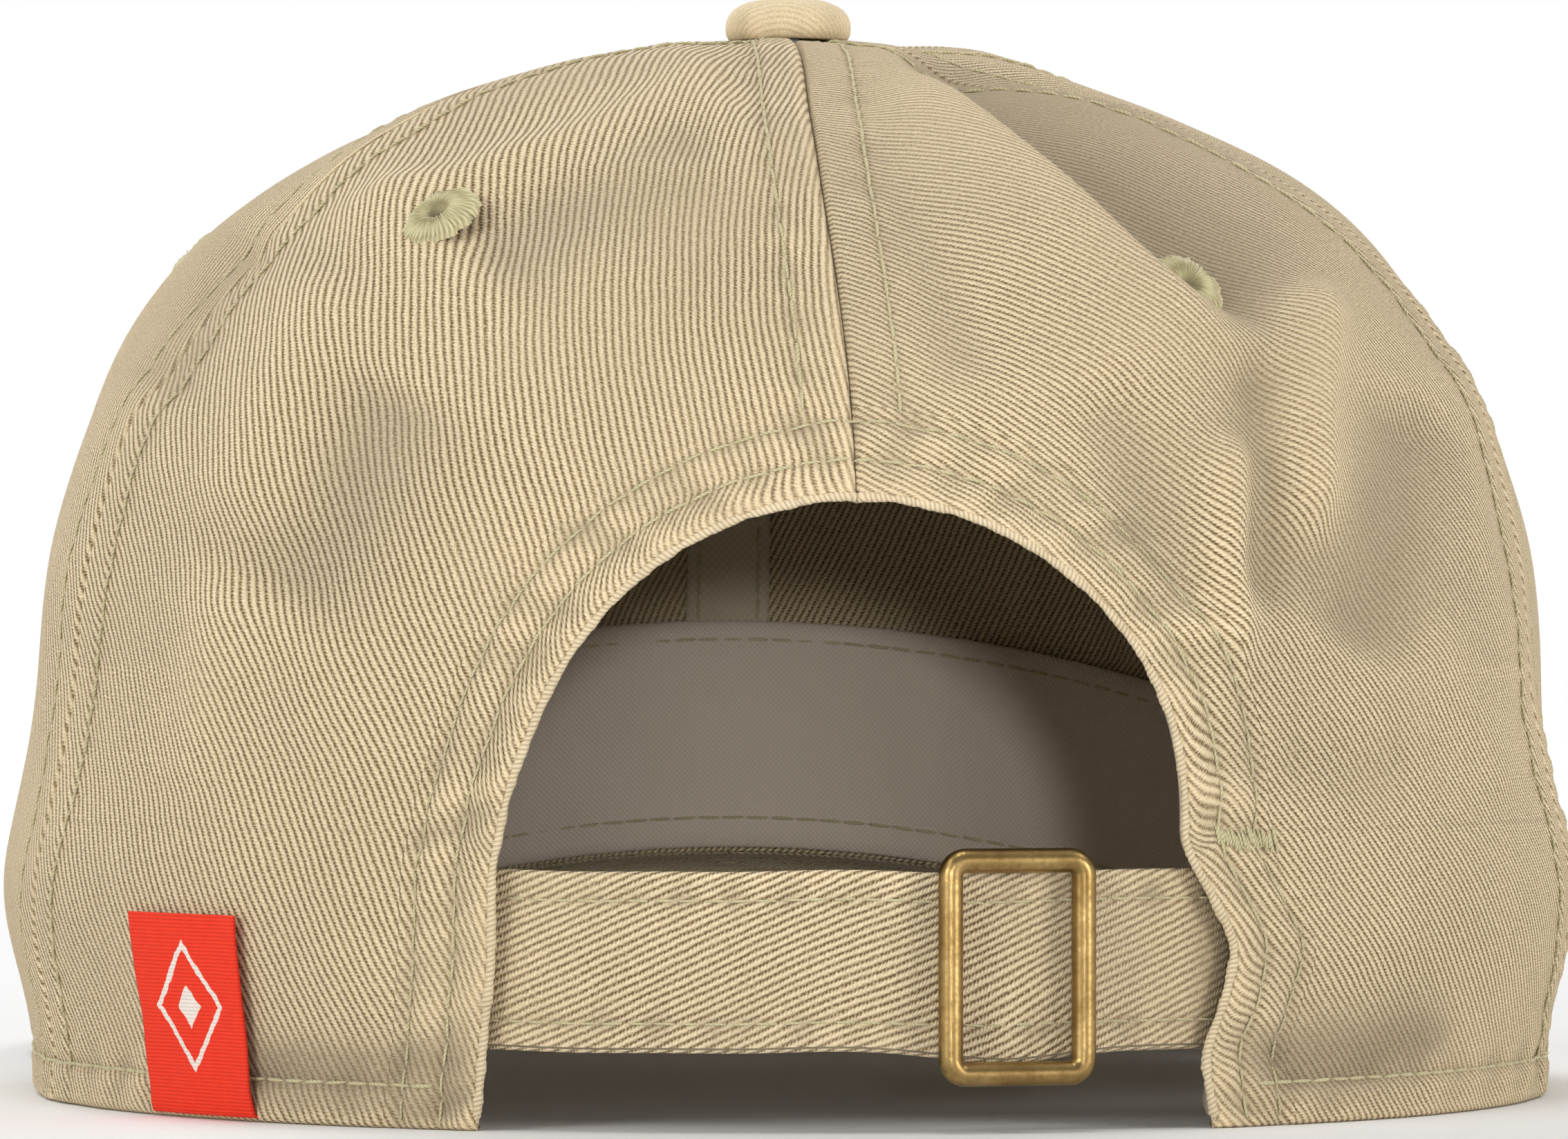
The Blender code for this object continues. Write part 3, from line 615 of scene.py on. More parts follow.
def panel_uv(azimuth, level, first, last, low_lean, high_lean, stretch):
    """Twill coordinates of a sewn panel, in metres: across the ribs, and along them. The ribs
    lean to the left of upwards as seen from outside, at the hem and near the button."""
    middle = (seam_azimuth(first, level) + seam_azimuth(last, level)) / 2
    half = (seam_azimuth(last, level) - seam_azimuth(first, level)) / 2
    across = -(azimuth - middle) / half
    lengths = np.linspace(-5 * MM, LENGTHS[-1], 400)
    levels = np.interp(lengths, LENGTHS, LEVELS)
    centre = (seam_azimuth(first, levels) + seam_azimuth(last, levels)) / 2
    span = (seam_azimuth(last, levels) - seam_azimuth(first, levels)) / 2
    around = np.hypot(*crown(centre, levels)[:, :2].T)
    width = span * around
    step = lengths[1] - lengths[0]
    slope = -np.gradient(width, step)
    lean = mix(low_lean, high_lean, smoothstep((lengths - LEAN_RISE[0]) / LEAN_RISE[1]))
    risen = np.cumsum(np.sin(lean)) * step
    length = length_of(level)
    here = np.interp(length, lengths, width)
    bow = np.interp(length, lengths, slope) * here * across**2 / 2
    mean = (low_lean + high_lean) / 2
    right = across * here
    over = right * np.cos(mean) + np.interp(length, lengths, risen) + bow * np.sin(mean)
    along = -right * np.sin(mean) + (length + bow) * np.cos(mean)
    return np.stack([over / stretch, along], -1)


def twill_uv(right, up, lean):
    """Twill coordinates in metres: across the ribs, and along them. The ribs lean to the left
    of upwards by the given angle."""
    across = right * np.cos(lean) + up * np.sin(lean)
    along = -right * np.sin(lean) + up * np.cos(lean)
    return np.stack([across, along], -1)


# --- materials ---------------------------------------------------------------------------


class Finish:
    """A material with a short way to write its nodes."""

    def __init__(self, name):
        self.material = bpy.data.materials.new(name)
        self.material.use_nodes = True
        self.tree = self.material.node_tree
        self.shader = self.tree.nodes["Principled BSDF"]

    def node(self, kind, values=(), **settings):
        made = self.tree.nodes.new("ShaderNode" + kind)
        for key, value in settings.items():
            setattr(made, key, value)
        for key, value in dict(values).items():
            self.put(made.inputs[key], value)
        return made

    def put(self, socket, value):
        if isinstance(value, bpy.types.NodeSocket):
            self.tree.links.new(value, socket)
        elif isinstance(value, (tuple, list)) and len(value) == 3 and socket.type == "RGBA":
            socket.default_value = (*value, 1)
        else:
            socket.default_value = value

    def set(self, **values):
        for key, value in values.items():
            self.put(self.shader.inputs[key.replace("_", " ")], value)

    def calc(self, operation, *values, clamp=False):
        made = self.tree.nodes.new("ShaderNodeMath")
        made.operation = operation
        made.use_clamp = clamp
        for socket, value in zip(made.inputs, values):
            self.put(socket, value)
        return made.outputs[0]

    def blend(self, share, first, second, kind="MIX"):
        made = self.node("Mix", data_type="RGBA", blend_type=kind, clamp_factor=True)
        self.put(made.inputs["Factor"], share)
        self.put(made.inputs[6], first)
        self.put(made.inputs[7], second)
        return made.outputs[2]

    def noise(self, vector, scale, detail=2.0, roughness=0.5):
        values = {"Vector": vector, "Scale": scale, "Detail": detail, "Roughness": roughness}
        return self.node("TexNoise", values).outputs["Fac"]

    def uv(self):
        return self.node("UVMap", uv_map="UVMap").outputs[0]

    def object_place(self):
        return self.node("TexCoord").outputs["Object"]

    def scaled(self, vector, by):
        return self.node("VectorMath", {0: vector, 1: by}, operation="MULTIPLY").outputs[0]

    def split(self, vector):
        made = self.node("SeparateXYZ", {0: vector})
        return made.outputs[0], made.outputs[1]

    def bumped(self, height, distance):
        values = {"Height": height, "Distance": distance, "Strength": 1.0}
        return self.node("Bump", values).outputs[0]


def twill(name, pitch, rib, middle, valley, depth=0.26 * MM):
    """Washed steep twill: light ribs of short slanting floats, with rows of dark dots between."""
    f = Finish(name)
    uv = f.uv()
    broad = f.calc("MULTIPLY", f.noise(uv, 45, 1.0), 1.6)
    small = f.calc("MULTIPLY_ADD", f.noise(f.scaled(uv, (1, 0.4, 1)), 620, 2.0), 0.42, broad)
    across, along = f.split(uv)
    rank = f.calc("MULTIPLY_ADD", across, 1 / pitch, small)
    beat = f.calc("MULTIPLY_ADD", along, 1 / FLOAT_LENGTH, f.calc("MULTIPLY", rank, 1.35))
    beat = f.calc("ADD", beat, f.calc("MULTIPLY", f.noise(uv, 700, 2.0), 1.5))
    beat = f.calc("SINE", f.calc("MULTIPLY", beat, TURN))
    floats = f.calc("MULTIPLY_ADD", beat, 0.5, 0.5)
    phase = f.calc("MULTIPLY_ADD", beat, 0.045, rank)
    crest = f.calc("MULTIPLY_ADD", f.calc("COSINE", f.calc("MULTIPLY", phase, TURN)), -0.5, 0.5)
    fuzz = f.noise(f.scaled(uv, (1, 0.6, 1)), 3600, 3.0, 0.75)
    ragged = f.calc("MULTIPLY_ADD", fuzz, 1.5, -0.75)
    noisy = f.calc("ADD", crest, ragged)
    light = f.node("MapRange", {0: noisy, 1: 0.3, 2: 0.9}, interpolation_type="SMOOTHSTEP")
    light = f.calc("MULTIPLY", light.outputs[0], f.calc("MULTIPLY_ADD", floats, 0.5, 0.5))
    low = f.calc("MULTIPLY_ADD", floats, 0.32, noisy)
    dark = f.node("MapRange", {0: low, 1: 0.52, 2: 0.06}, interpolation_type="SMOOTHSTEP")
    colour = f.blend(dark.outputs[0], f.blend(light, middle, rib), valley)
    patches = f.noise(f.object_place(), 34, 4.0, 0.6)
    # The mesh's tone: paler where really worn, plus painted highlight on crease tops and painted
    # shade in folds, grooves and stitch rows.
    wear_and_shade = f.node("Attribute", attribute_name="wear_and_shade").outputs["Fac"]
    tone = f.calc("MULTIPLY_ADD", patches, 0.26, 0.87)
    tone = f.calc("MULTIPLY_ADD", wear_and_shade, 0.2, tone)
    tone = f.calc("MULTIPLY_ADD", f.calc("SUBTRACT", fuzz, 0.5), 0.7, tone)
    tone = f.calc("MINIMUM", f.calc("MAXIMUM", tone, 0.45), 1.35)
    felt = f.calc("MULTIPLY_ADD", f.noise(f.object_place(), 26, 2.0), 1.8, -0.85)
    felt = f.calc("MULTIPLY_ADD", f.calc("ABSOLUTE", wear_and_shade), 0.4, felt)
    felt = f.calc("MINIMUM", f.calc("MAXIMUM", felt, 0.0), 0.65)
    colour = f.blend(felt, colour, FELTED)
    grey = f.node("CombineXYZ", {0: tone, 1: tone, 2: tone}).outputs[0]
    colour = f.blend(1.0, colour, grey, "MULTIPLY")
    f.set(Base_Color=colour, Roughness=0.92, Sheen_Weight=0.1, Sheen_Roughness=0.4)
    f.set(Specular_IOR_Level=0.2)
    height = f.calc("MULTIPLY_ADD", floats, 0.2, f.calc("POWER", crest, 0.5))
    height = f.calc("MULTIPLY_ADD", fuzz, 0.6, height)
    f.set(Normal=f.bumped(height, depth))
    return f.material


def woven(name, colour, dark, yarns=900):
    """Plain weave of tapes and the sweatband, with so many yarns to the metre."""
    f = Finish(name)
    across, along = f.split(f.uv())
    one = f.calc("SINE", f.calc("MULTIPLY", across, yarns * TURN))
    two = f.calc("SINE", f.calc("MULTIPLY", along, yarns * TURN))
    weave = f.calc("MULTIPLY_ADD", f.calc("MULTIPLY", one, two), 0.5, 0.5)
    patches = f.noise(f.object_place(), 60, 3.0)
    share = f.calc("MULTIPLY_ADD", patches, 0.5, f.calc("MULTIPLY", weave, 0.55), clamp=True)
    f.set(Base_Color=f.blend(share, dark, colour), Roughness=0.9, Sheen_Weight=0.1)
    f.set(Normal=f.bumped(weave, 0.08 * MM))
    return f.material


def thread(name, colour, dark):
    """Twisted sewing thread. Its UVs run along it in metres, and round it from 0 to 1."""
    f = Finish(name)
    along, around = f.split(f.uv())
    turn = f.calc("MULTIPLY_ADD", along, 1 / (0.55 * MM), f.calc("MULTIPLY", around, 2.0))
    wave = f.calc("ABSOLUTE", f.calc("SINE", f.calc("MULTIPLY", turn, np.pi)))
    patches = f.noise(f.object_place(), 320, 3.0)
    share = f.calc("MULTIPLY_ADD", patches, 0.5, f.calc("MULTIPLY", wave, 0.6), clamp=True)
    f.set(Base_Color=f.blend(share, dark, colour), Roughness=0.75, Sheen_Weight=0.1)
    f.set(Normal=f.bumped(wave, 0.08 * MM))
    return f.material


def aged_brass(name):
    f = Finish(name)
    place = f.object_place()
    broad = f.noise(place, 240, 4.0, 0.6)
    fine = f.noise(place, 1500, 4.0, 0.65)
    share = f.calc("MULTIPLY_ADD", broad, 1.6, -0.35, clamp=True)
    speck = f.calc("MULTIPLY_ADD", fine, 2.4, -1.0, clamp=True)
    colour = f.blend(share, (0.20, 0.12, 0.034), (0.55, 0.385, 0.16))
    colour = f.blend(f.calc("MULTIPLY", speck, 0.65), colour, (0.13, 0.075, 0.022))
    rough = f.calc("MULTIPLY_ADD", fine, 0.3, 0.2)
    f.set(Base_Color=colour, Metallic=1.0, Roughness=rough)
    f.set(Normal=f.bumped(f.calc("ADD", fine, broad), 0.035 * MM))
    return f.material


def metal(name, colour, dark):
    f = Finish(name)
    place = f.object_place()
    broad = f.noise(place, 300, 4.0, 0.6)
    f.set(Base_Color=f.blend(broad, dark, colour), Metallic=1.0)
    f.set(Roughness=f.calc("MULTIPLY_ADD", broad, 0.3, 0.25))
    f.set(Normal=f.bumped(broad, 0.03 * MM))
    return f.material


def board(name):
    f = Finish(name)
    grain = f.noise(f.object_place(), 900, 4.0, 0.6)
    f.set(Base_Color=f.blend(grain, (0.72, 0.72, 0.69), (0.86, 0.86, 0.84)), Roughness=0.55)
    f.set(Normal=f.bumped(grain, 0.05 * MM))
    return f.material


def label_weave(name):
    """Red damask with a plain open diamond. Its UVs are metres from the label's middle."""
    f = Finish(name)
    across, along = f.split(f.uv())
    rows = f.calc("ABSOLUTE", f.calc("SINE", f.calc("MULTIPLY", along, np.pi / (0.42 * MM))))
    yarns = f.calc("ABSOLUTE", f.calc("SINE", f.calc("MULTIPLY", across, np.pi / (0.30 * MM))))
    weave = f.calc("MULTIPLY_ADD", rows, 0.7, f.calc("MULTIPLY", yarns, 0.3))
    patches = f.noise(f.uv(), 700, 3.0)
    share = f.calc("MULTIPLY_ADD", patches, 0.3, f.calc("MULTIPLY", weave, 0.75), clamp=True)
    red = f.blend(share, (0.60, 0.018, 0.009), (0.94, 0.058, 0.022))
    ragged = f.calc("MULTIPLY_ADD", patches, 0.16, -0.08)
    reach = f.calc(
        "ADD",
        f.calc("ABSOLUTE", f.calc("DIVIDE", across, 5.6 * MM)),
        f.calc("ABSOLUTE", f.calc("DIVIDE", f.calc("SUBTRACT", along, 11.0 * MM), 7.4 * MM)),
    )
    reach = f.calc("ADD", reach, ragged)
    ring = f.calc("COMPARE", reach, 0.93, 0.075)
    heart = f.calc("LESS_THAN", reach, 0.34)
    mark = f.calc("MAXIMUM", ring, heart)
    white = f.blend(share, (0.62, 0.52, 0.46), (0.93, 0.86, 0.80))
    f.set(Base_Color=f.blend(mark, red, white), Roughness=0.8, Specular_IOR_Level=0.2)
    f.set(Normal=f.bumped(weave, 0.09 * MM))
    return f.material


twill_cloth = twill("washed_twill", RIB_PITCH, *TWILL)
button_cloth = twill("button_twill", BUTTON_RIB_PITCH, *BUTTON_CLOTH, depth=0.06 * MM)
strap_cloth = twill("strap_twill", STRAP_RIB_PITCH, *TWILL, depth=0.3 * MM)
tape_cloth = woven("tape_weave", (0.66, 0.58, 0.42), (0.50, 0.43, 0.30))
lining_cloth = woven("sweatband_weave", (0.78, 0.68, 0.56), (0.62, 0.52, 0.42), 1400)
sewing_thread = thread("sewing_thread", (0.66, 0.60, 0.37), (0.38, 0.33, 0.17))
edge_yarn = thread("edge_yarn", (0.78, 0.66, 0.45), (0.36, 0.26, 0.14))
eyelet_thread = thread("eyelet_thread", (0.70, 0.64, 0.39), (0.30, 0.25, 0.12))
brass = aged_brass("aged_brass")
steel = metal("zinc_plated_steel", (0.62, 0.62, 0.62), (0.42, 0.42, 0.41))
stiff_board = board("visor_board_plastic")
red_cloth = label_weave("label_damask")


# --- crown panels ------------------------------------------------------------------------

# Each panel's seams, how far its ribs lean at the hem and near the button, and their stretch.
PANELS = {
    "back_left": ("back", "side_left", 35 * DEG, 17 * DEG, 1.13),
    "side_left": ("side_left", "temple_left", 28 * DEG, 20 * DEG, 1.0),
    "front_left": ("temple_left", "front", 25 * DEG, 15 * DEG, 1.0),
    "front_right": ("front", "temple_right", 30 * DEG, 30 * DEG, 1.0),
    "side_right": ("temple_right", "side_right", 28 * DEG, 30 * DEG, 1.0),
    "back_right": ("side_right", "back", 40 * DEG, 46 * DEG, 0.93),
}


def panel_seams(name):
    first, last = (SEAMS[seam] for seam in PANELS[name][:2])
    if name == "front_right":
        first = (-np.pi, -np.pi)
    return first, last


def folded_over(place):
    """For a distance from a folded edge, negative where the cloth has turned round it: how far
    from the edge that point lies, and how deep."""
    start = FOLD_RADIUS * np.pi / 2 - 0.55 * MM
    turn = np.clip((start - place) / FOLD_RADIUS, 0, np.pi)
    past = np.where(turn > 0, FOLD_RADIUS * (1 - np.sin(turn)), place - start + FOLD_RADIUS)
    return past, FOLD_RADIUS * (1 - np.cos(turn))


def panel_piece(name, azimuth, level, faces, depth, flat_azimuth, flat_level):
    """A crown panel from its grid points, with its eyelet's hole. Depth is how far a point is
    folded inwards, and the flat places say where it lies on the cloth."""
    first, last = panel_seams(name)
    relief, wear_and_shade = sewn_relief(azimuth, level)
    normals = crown_normal(azimuth, level)
    base = crown(azimuth, level) + normals * drape(azimuth, level)[:, None]
    outer = base + normals * (relief * np.clip(1 - depth / FOLD_RADIUS, 0, 1) - depth)[:, None]
    inner = base - normals * PANEL_THICKNESS
    centre = crown(*EYELETS[name])
    middles = crown(azimuth, level)[faces].mean(axis=1)
    faces = faces[np.linalg.norm(middles - centre, axis=1) > 1.4 * MM]
    uv = panel_uv(flat_azimuth, flat_level, first, last, *PANELS[name][2:])
    folded = depth > 1e-6
    piece = shell(
        "cap_panel_" + name, outer, inner, normals, faces, twill_cloth, uv, wear_and_shade, folded
    )
    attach(piece, "crown")
    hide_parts("panel_" + name)


def plain_panel(name):
    """A side or front panel, between two seams from the hem to the button."""
    first, last = panel_seams(name)
    top = length_of(TOP_LEVEL)
    rows = spaced((0, 1.2 * MM, 7 * MM, top), (0.2 * MM, 0.5 * MM, 0.8 * MM, 1.0 * MM))
    rows = np.concatenate([WRAP, rows])
    past, depth = folded_over(rows)
    level, flat_level = level_of(past)[:, None], (rows / length_of(0.01) * 0.01)[:, None]
    flat_level = np.where(rows[:, None] > 0, level_of(rows)[:, None], flat_level)
    span = 62 * MM
    stops = (0, 1.2 * MM, 8 * MM, span - 8 * MM, span - 1.2 * MM, span)
    share = spaced(stops, [s * MM for s in (0.2, 0.35, 0.8, 0.8, 0.35, 0.2)]) / span
    low, high = seam_azimuth(first, level), seam_azimuth(last, level)
    middle = crown((low + high) / 2, level)
    inset = EDGE_GAP / np.hypot(middle[..., 0], middle[..., 1])
    azimuth = mix(low + inset, high - inset, share[None, :])
    level, flat_level, depth = (
        np.broadcast_to(value, azimuth.shape).ravel()
        for value in (level, flat_level, depth[:, None])
    )
    faces = grid_faces(*azimuth.shape)
    azimuth = azimuth.ravel()
    panel_piece(name, azimuth, level, faces, depth, azimuth, flat_level)


def joined_grids(first, second):
    """Quads of two grids of point numbers, side by side."""
    both = []
    for ids in (first, second):
        corners = (ids[:-1, :-1], ids[:-1, 1:], ids[1:, 1:], ids[1:, :-1])
        both.append(np.stack(corners, -1).reshape(-1, 4))
    return np.concatenate(both)


def back_panel(name):
    """A back panel: a fine border along the arch, and beyond it rows from that border and the
    back seam across to the side seam. Both the arch's edge and the hem are folded over."""
    side = 1 if name.endswith("left") else -1
    seam = SEAMS["side_left"]
    leg = spaced((0, 1.2 * MM, 7 * MM, ARCH_SPRING), [s * MM for s in (0.2, 0.5, 0.8, 0.8)])
    leg = np.concatenate([WRAP, leg])
    quarter = ARCH_RADIUS * np.pi / 2
    turn = spaced((0, quarter - 4 * MM, quarter), [s * MM for s in (0.7, 0.6, 0.12)])[1:]
    leg_past, leg_depth = folded_over(leg)
    along = np.concatenate([leg_past / ARCH_SPRING, 1 + turn / quarter])[:, None]
    hem_depth = np.concatenate([leg_depth, np.zeros(len(turn))])[:, None]
    dip = np.concatenate([np.minimum(leg - leg_past, 0), np.zeros(len(turn))])[:, None]
    out = spaced((0, 1.2 * MM, STRIP_WIDTH), [s * MM for s in (0.15, 0.4, 0.5)])
    out = np.concatenate([WRAP, out])[None, :]
    out_past, out_depth = folded_over(out)
    x, height = arch_point(along, out_past, side)
    drag = ROLL_DRAG * smoothstep((4.6 * MM - out) / (4.2 * MM)) / HALF_LENGTH * 2
    drag = drag * smoothstep((2 - along) / 0.3)
    flat_x, flat_height = arch_point(np.minimum(along + drag, 2), out, side)
    low_azimuth = EDGE_GAP / HALF_LENGTH
    azimuth = np.maximum(azimuth_of(x, height), low_azimuth)
    level = level_at(azimuth, height)
    flat_azimuth = np.maximum(azimuth_of(flat_x, flat_height), low_azimuth)
    flat_level = level_at(flat_azimuth, flat_height + dip)
    depth = np.maximum(hem_depth, out_depth)
    strip_rows, strip_columns = azimuth.shape

    seam_foot = length_of(level[-1, -1])
    top = length_of(TOP_LEVEL)
    rise = spaced((seam_foot, seam_foot + 6 * MM, top), [s * MM for s in (0.25, 0.7, 0.9)])[1:]
    rise_level = level_of(rise)
    near_level = np.concatenate([level[:, -1], rise_level])
    around = np.hypot(*crown(0.0, near_level)[:, :2].T)
    near_azimuth = np.concatenate([azimuth[:, -1], np.zeros(len(rise))])
    near_azimuth = np.maximum(near_azimuth, EDGE_GAP / around)
    leg_rows = len(leg)
    gone = run_lengths(np.stack([x[:, -1], height[:, -1]], -1))
    gone = (gone[leg_rows:] - gone[leg_rows - 1]) / (gone[-1] - gone[leg_rows - 1])
    reach = ARCH_SPRING + 54 * MM
    far_length = np.concatenate(
        [
            length_of(level[:leg_rows, -1]),
            mix(length_of(level[leg_rows - 1, -1]), reach, gone),
            mix(reach, top, (rise - seam_foot) / (top - seam_foot)),
        ]
    )
    far_level = level_of(far_length)
    edge = crown(seam_azimuth(seam, far_level), far_level)
    far_azimuth = seam_azimuth(seam, far_level) - EDGE_GAP / np.hypot(edge[:, 0], edge[:, 1])
    span = 80 * MM
    stops = (0, 2 * MM, 9 * MM, span - 8 * MM, span - 1.2 * MM, span)
    share = spaced(stops, [s * MM for s in (0.2, 0.4, 0.8, 0.8, 0.35, 0.2)]) / span
    field_azimuth = mix(near_azimuth[:, None], far_azimuth[:, None], share[None, 1:])
    field_level = mix(near_level[:, None], far_level[:, None], share[None, 1:])
    risen = np.zeros(len(rise))
    field_depth = np.concatenate([hem_depth[:, 0], risen])[:, None]
    field_depth = np.broadcast_to(field_depth, field_level.shape)
    field_dip = np.concatenate([dip[:, 0], risen])[:, None] / WALL_TOP * WALL_SHARE

    strip = np.arange(strip_rows * strip_columns).reshape(strip_rows, strip_columns)
    count = strip.size
    rise_ids = count + np.arange(len(rise))
    count += len(rise)
    field = count + np.arange(field_azimuth.size).reshape(field_azimuth.shape)
    near_ids = np.concatenate([strip[:, -1], rise_ids])
    faces = joined_grids(strip, np.concatenate([near_ids[:, None], field], axis=1))

    def all_points(on_strip, on_seam, on_field):
        return np.concatenate([on_strip.ravel(), on_seam, on_field.ravel()])

    seam_part = near_azimuth[strip_rows:]
    azimuth = side * all_points(azimuth, seam_part, field_azimuth)
    level = all_points(level, rise_level, field_level)
    depth = all_points(depth, risen, field_depth)
    flat_azimuth = side * all_points(flat_azimuth, seam_part, field_azimuth)
    flat_level = all_points(flat_level, rise_level, field_level + field_dip)
    panel_piece(name, azimuth, level, faces, depth, flat_azimuth, flat_level)


for panel_name in PANELS:
    if panel_name.startswith("back"):
        back_panel(panel_name)
    else:
        plain_panel(panel_name)


# --- stitches ----------------------------------------------------------------------------


def stitches(runs, stitch=STITCH, radius=THREAD_RADIUS, gap=0.22 * MM, seed=1):
    """Points, faces and corner UVs of rows of stitches. Each run is a path and its normals. The
    UVs run along the thread in metres, and round it from 0 to 1."""
    shares = np.array([0, 0.1, 0.3, 0.7, 0.9, 1])
    swell = np.array([0.1, 0.8, 1, 1, 0.8, 0.1])
    lift = np.array([-0.16, -0.02, 0.09, 0.09, -0.02, -0.16]) * MM
    sides = 6
    angles = np.arange(sides) * TURN / sides
    random = np.random.default_rng(seed)
    all_points, all_faces, all_uv = [], [], []
    count = 0
    ring = grid_faces(len(shares), sides, closed=True)
    for path, normals in runs:
        lengths = run_lengths(path)
        number = int(lengths[-1] / stitch)
        if number < 1:
            continue
        starts = np.arange(number) * lengths[-1] / number
        starts = starts + random.uniform(-0.12, 0.12, number) * MM
        at = starts[:, None] + shares[None, :] * (stitch - gap)

        def along(values, where):
            return np.stack([np.interp(where, lengths, values[:, i]) for i in range(3)], -1)

        centre = along(path, at)
        normal = unit(along(normals, at))
        tangent = unit(along(path, at + 0.2 * MM) - along(path, at - 0.2 * MM))
        beside = unit(np.cross(tangent, normal))
        slant = random.uniform(-0.10, 0.10, (number, 1)) * MM * np.linspace(-1, 1, len(shares))
        centre = centre + normal * lift[None, :, None] + beside * slant[..., None]
        wide = radius * swell * random.uniform(0.9, 1.1, (number, 1))
        circle = (
            beside[:, :, None] * np.cos(angles)[None, None, :, None]
            + normal[:, :, None] * np.sin(angles)[None, None, :, None]
        )
        points = centre[:, :, None] + circle * wide[:, :, None, None]
        faces = ring[None] + np.arange(number)[:, None, None] * len(shares) * sides + count
        turns = ring % sides / sides
        turns[:, 1:3] = np.where(turns[:, 1:3] == 0, 1.0, turns[:, 1:3])
        rows = shares[ring // sides] * (stitch - gap)
        corner = np.stack([rows, turns], -1)
        corner = np.broadcast_to(corner[None], (number, *corner.shape)).copy()
        corner[..., 0] += starts[:, None, None]
        all_points.append(points.reshape(-1, 3))
        all_faces.append(faces[..., ::-1].reshape(-1, 4))
        all_uv.append(corner[..., ::-1, :].reshape(-1, 2))
        count += points.size // 3
    return np.concatenate(all_points), np.concatenate(all_faces), np.concatenate(all_uv)


def stitching(name, runs, **sizes):
    """Rows of stitches that move with the crown."""
    points, faces, corner_uv = stitches(runs, **sizes)
    piece = build(name, points, faces, sewing_thread, corner_uv=corner_uv)
    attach(piece, "crown")


def crown_run(azimuth, level):
    """A path for stitches on the crown's finished face, and its normals."""
    return skin(azimuth, level, 0.1 * MM), crown_normal(azimuth, level)


def seam_runs():
    runs = []
    for name, seam in SEAMS.items():
        foot = {"back": level_at(0.0, 78.5 * MM)}.get(name, 0.022)
        level = level_of(np.arange(length_of(foot), length_of(0.975), 0.5 * MM))
        middle = seam_azimuth(seam, level)
        points = crown(middle, level)
        distance = np.hypot(points[:, 0], points[:, 1])
        for side in (-1, 1):
            runs.append(crown_run(middle + side * row_offset(points) / distance, level))
    return runs


def arch_runs():
    along = np.linspace(0.02, 2, 400)
    return [crown_run(*round_arch(along, out)) for out in ARCH_ROWS]


def hem_run():
    azimuth = np.concatenate([np.arange(31, 180, 0.3), np.arange(-180, -30, 0.3)]) * DEG
    return [crown_run(azimuth, level_at(azimuth, hem_height(azimuth) + HEM_ROW))]


stitching("stitching_seams", seam_runs())
stitching("stitching_arch", arch_runs(), radius=0.17 * MM, seed=2)
stitching("stitching_hem", hem_run(), radius=0.22 * MM, seed=3)


def arch_edge():
    """The twisted, ragged roll of cloth that ends the arch's fold."""
    step, sides = 0.22 * MM, 10
    quarter = ARCH_RADIUS * np.pi / 2
    leg = np.arange(0.8 * MM, ARCH_SPRING, step) / ARCH_SPRING
    along = np.concatenate([leg, 1 + np.arange(0, quarter, step) / quarter])
    azimuth, level = round_arch(along, EDGE_OUT, skipped=0)
    normal = crown_normal(azimuth, level)
    centre = skin(azimuth, level) - normal * EDGE_DEPTH
    gone = run_lengths(centre)
    tangent = unit(np.gradient(centre, axis=0))
    beside = unit(np.cross(tangent, normal))
    outward = np.cross(beside, tangent)
    angle = np.arange(sides) * TURN / sides
    twist = np.abs(np.sin(np.pi * gone[:, None] / (0.86 * MM) + 2 * angle[None, :]))
    place = np.stack([gone, 0 * gone], -1)
    uneven = 1 + 0.16 * waves(place, 5 * MM, 91, 7) + 0.08 * waves(place, 1.7 * MM, 92, 7)
    ends = np.minimum(smoothstep(gone / (1 * MM)), smoothstep((gone[-1] - gone) / (1 * MM)))
    radius = EDGE_RADIUS * (0.8 + 0.28 * twist) * (uneven * (0.1 + 0.9 * ends))[:, None]
    circle = np.cos(angle)[None, :, None] * beside[:, None]
    circle = circle + np.sin(angle)[None, :, None] * outward[:, None]
    points = (centre[:, None] + circle * radius[..., None]).reshape(-1, 3)
    faces = grid_faces(len(gone), sides, closed=True)
    faces = face_outwards(points, faces, circle.reshape(-1, 3))
    corner_uv = np.stack([gone[faces // sides], (faces % sides) / sides], -1)
    turns = corner_uv[..., 1]
    corner_uv[..., 1] = turns + (turns.max(1, keepdims=True) - turns > 0.5)
    piece = build("cap_arch_edge", points, faces, edge_yarn, corner_uv=corner_uv.reshape(-1, 2))
    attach(piece, "crown")


arch_edge()


def bar_tack():
    """A bar of close stitches beside the arch's right leg."""
    random = np.random.default_rng(7)
    runs = []
    first, last = np.array(BAR_TACK)
    count = int(np.hypot(*(last - first)) / (0.3 * MM))
    for i in range(count):
        x, height = mix(first, last, (i + random.uniform(-0.2, 0.2)) / count)
        reach = BAR_TACK_HEIGHT / 2 * random.uniform(0.8, 1.15)
        height = height + random.uniform(-0.5, 0.5) * MM + np.linspace(-reach, reach, 8)
        x = x + np.linspace(-0.2, 0.2, 8) * MM
        azimuth = azimuth_of(np.abs(x), height)
        level = level_at(azimuth, height)
        runs.append(crown_run(np.sign(x) * azimuth, level))
    stitching("cap_bar_tack", runs, stitch=0.775 * BAR_TACK_HEIGHT, gap=0, seed=7)


bar_tack()


# --- eyelets and button ------------------------------------------------------------------


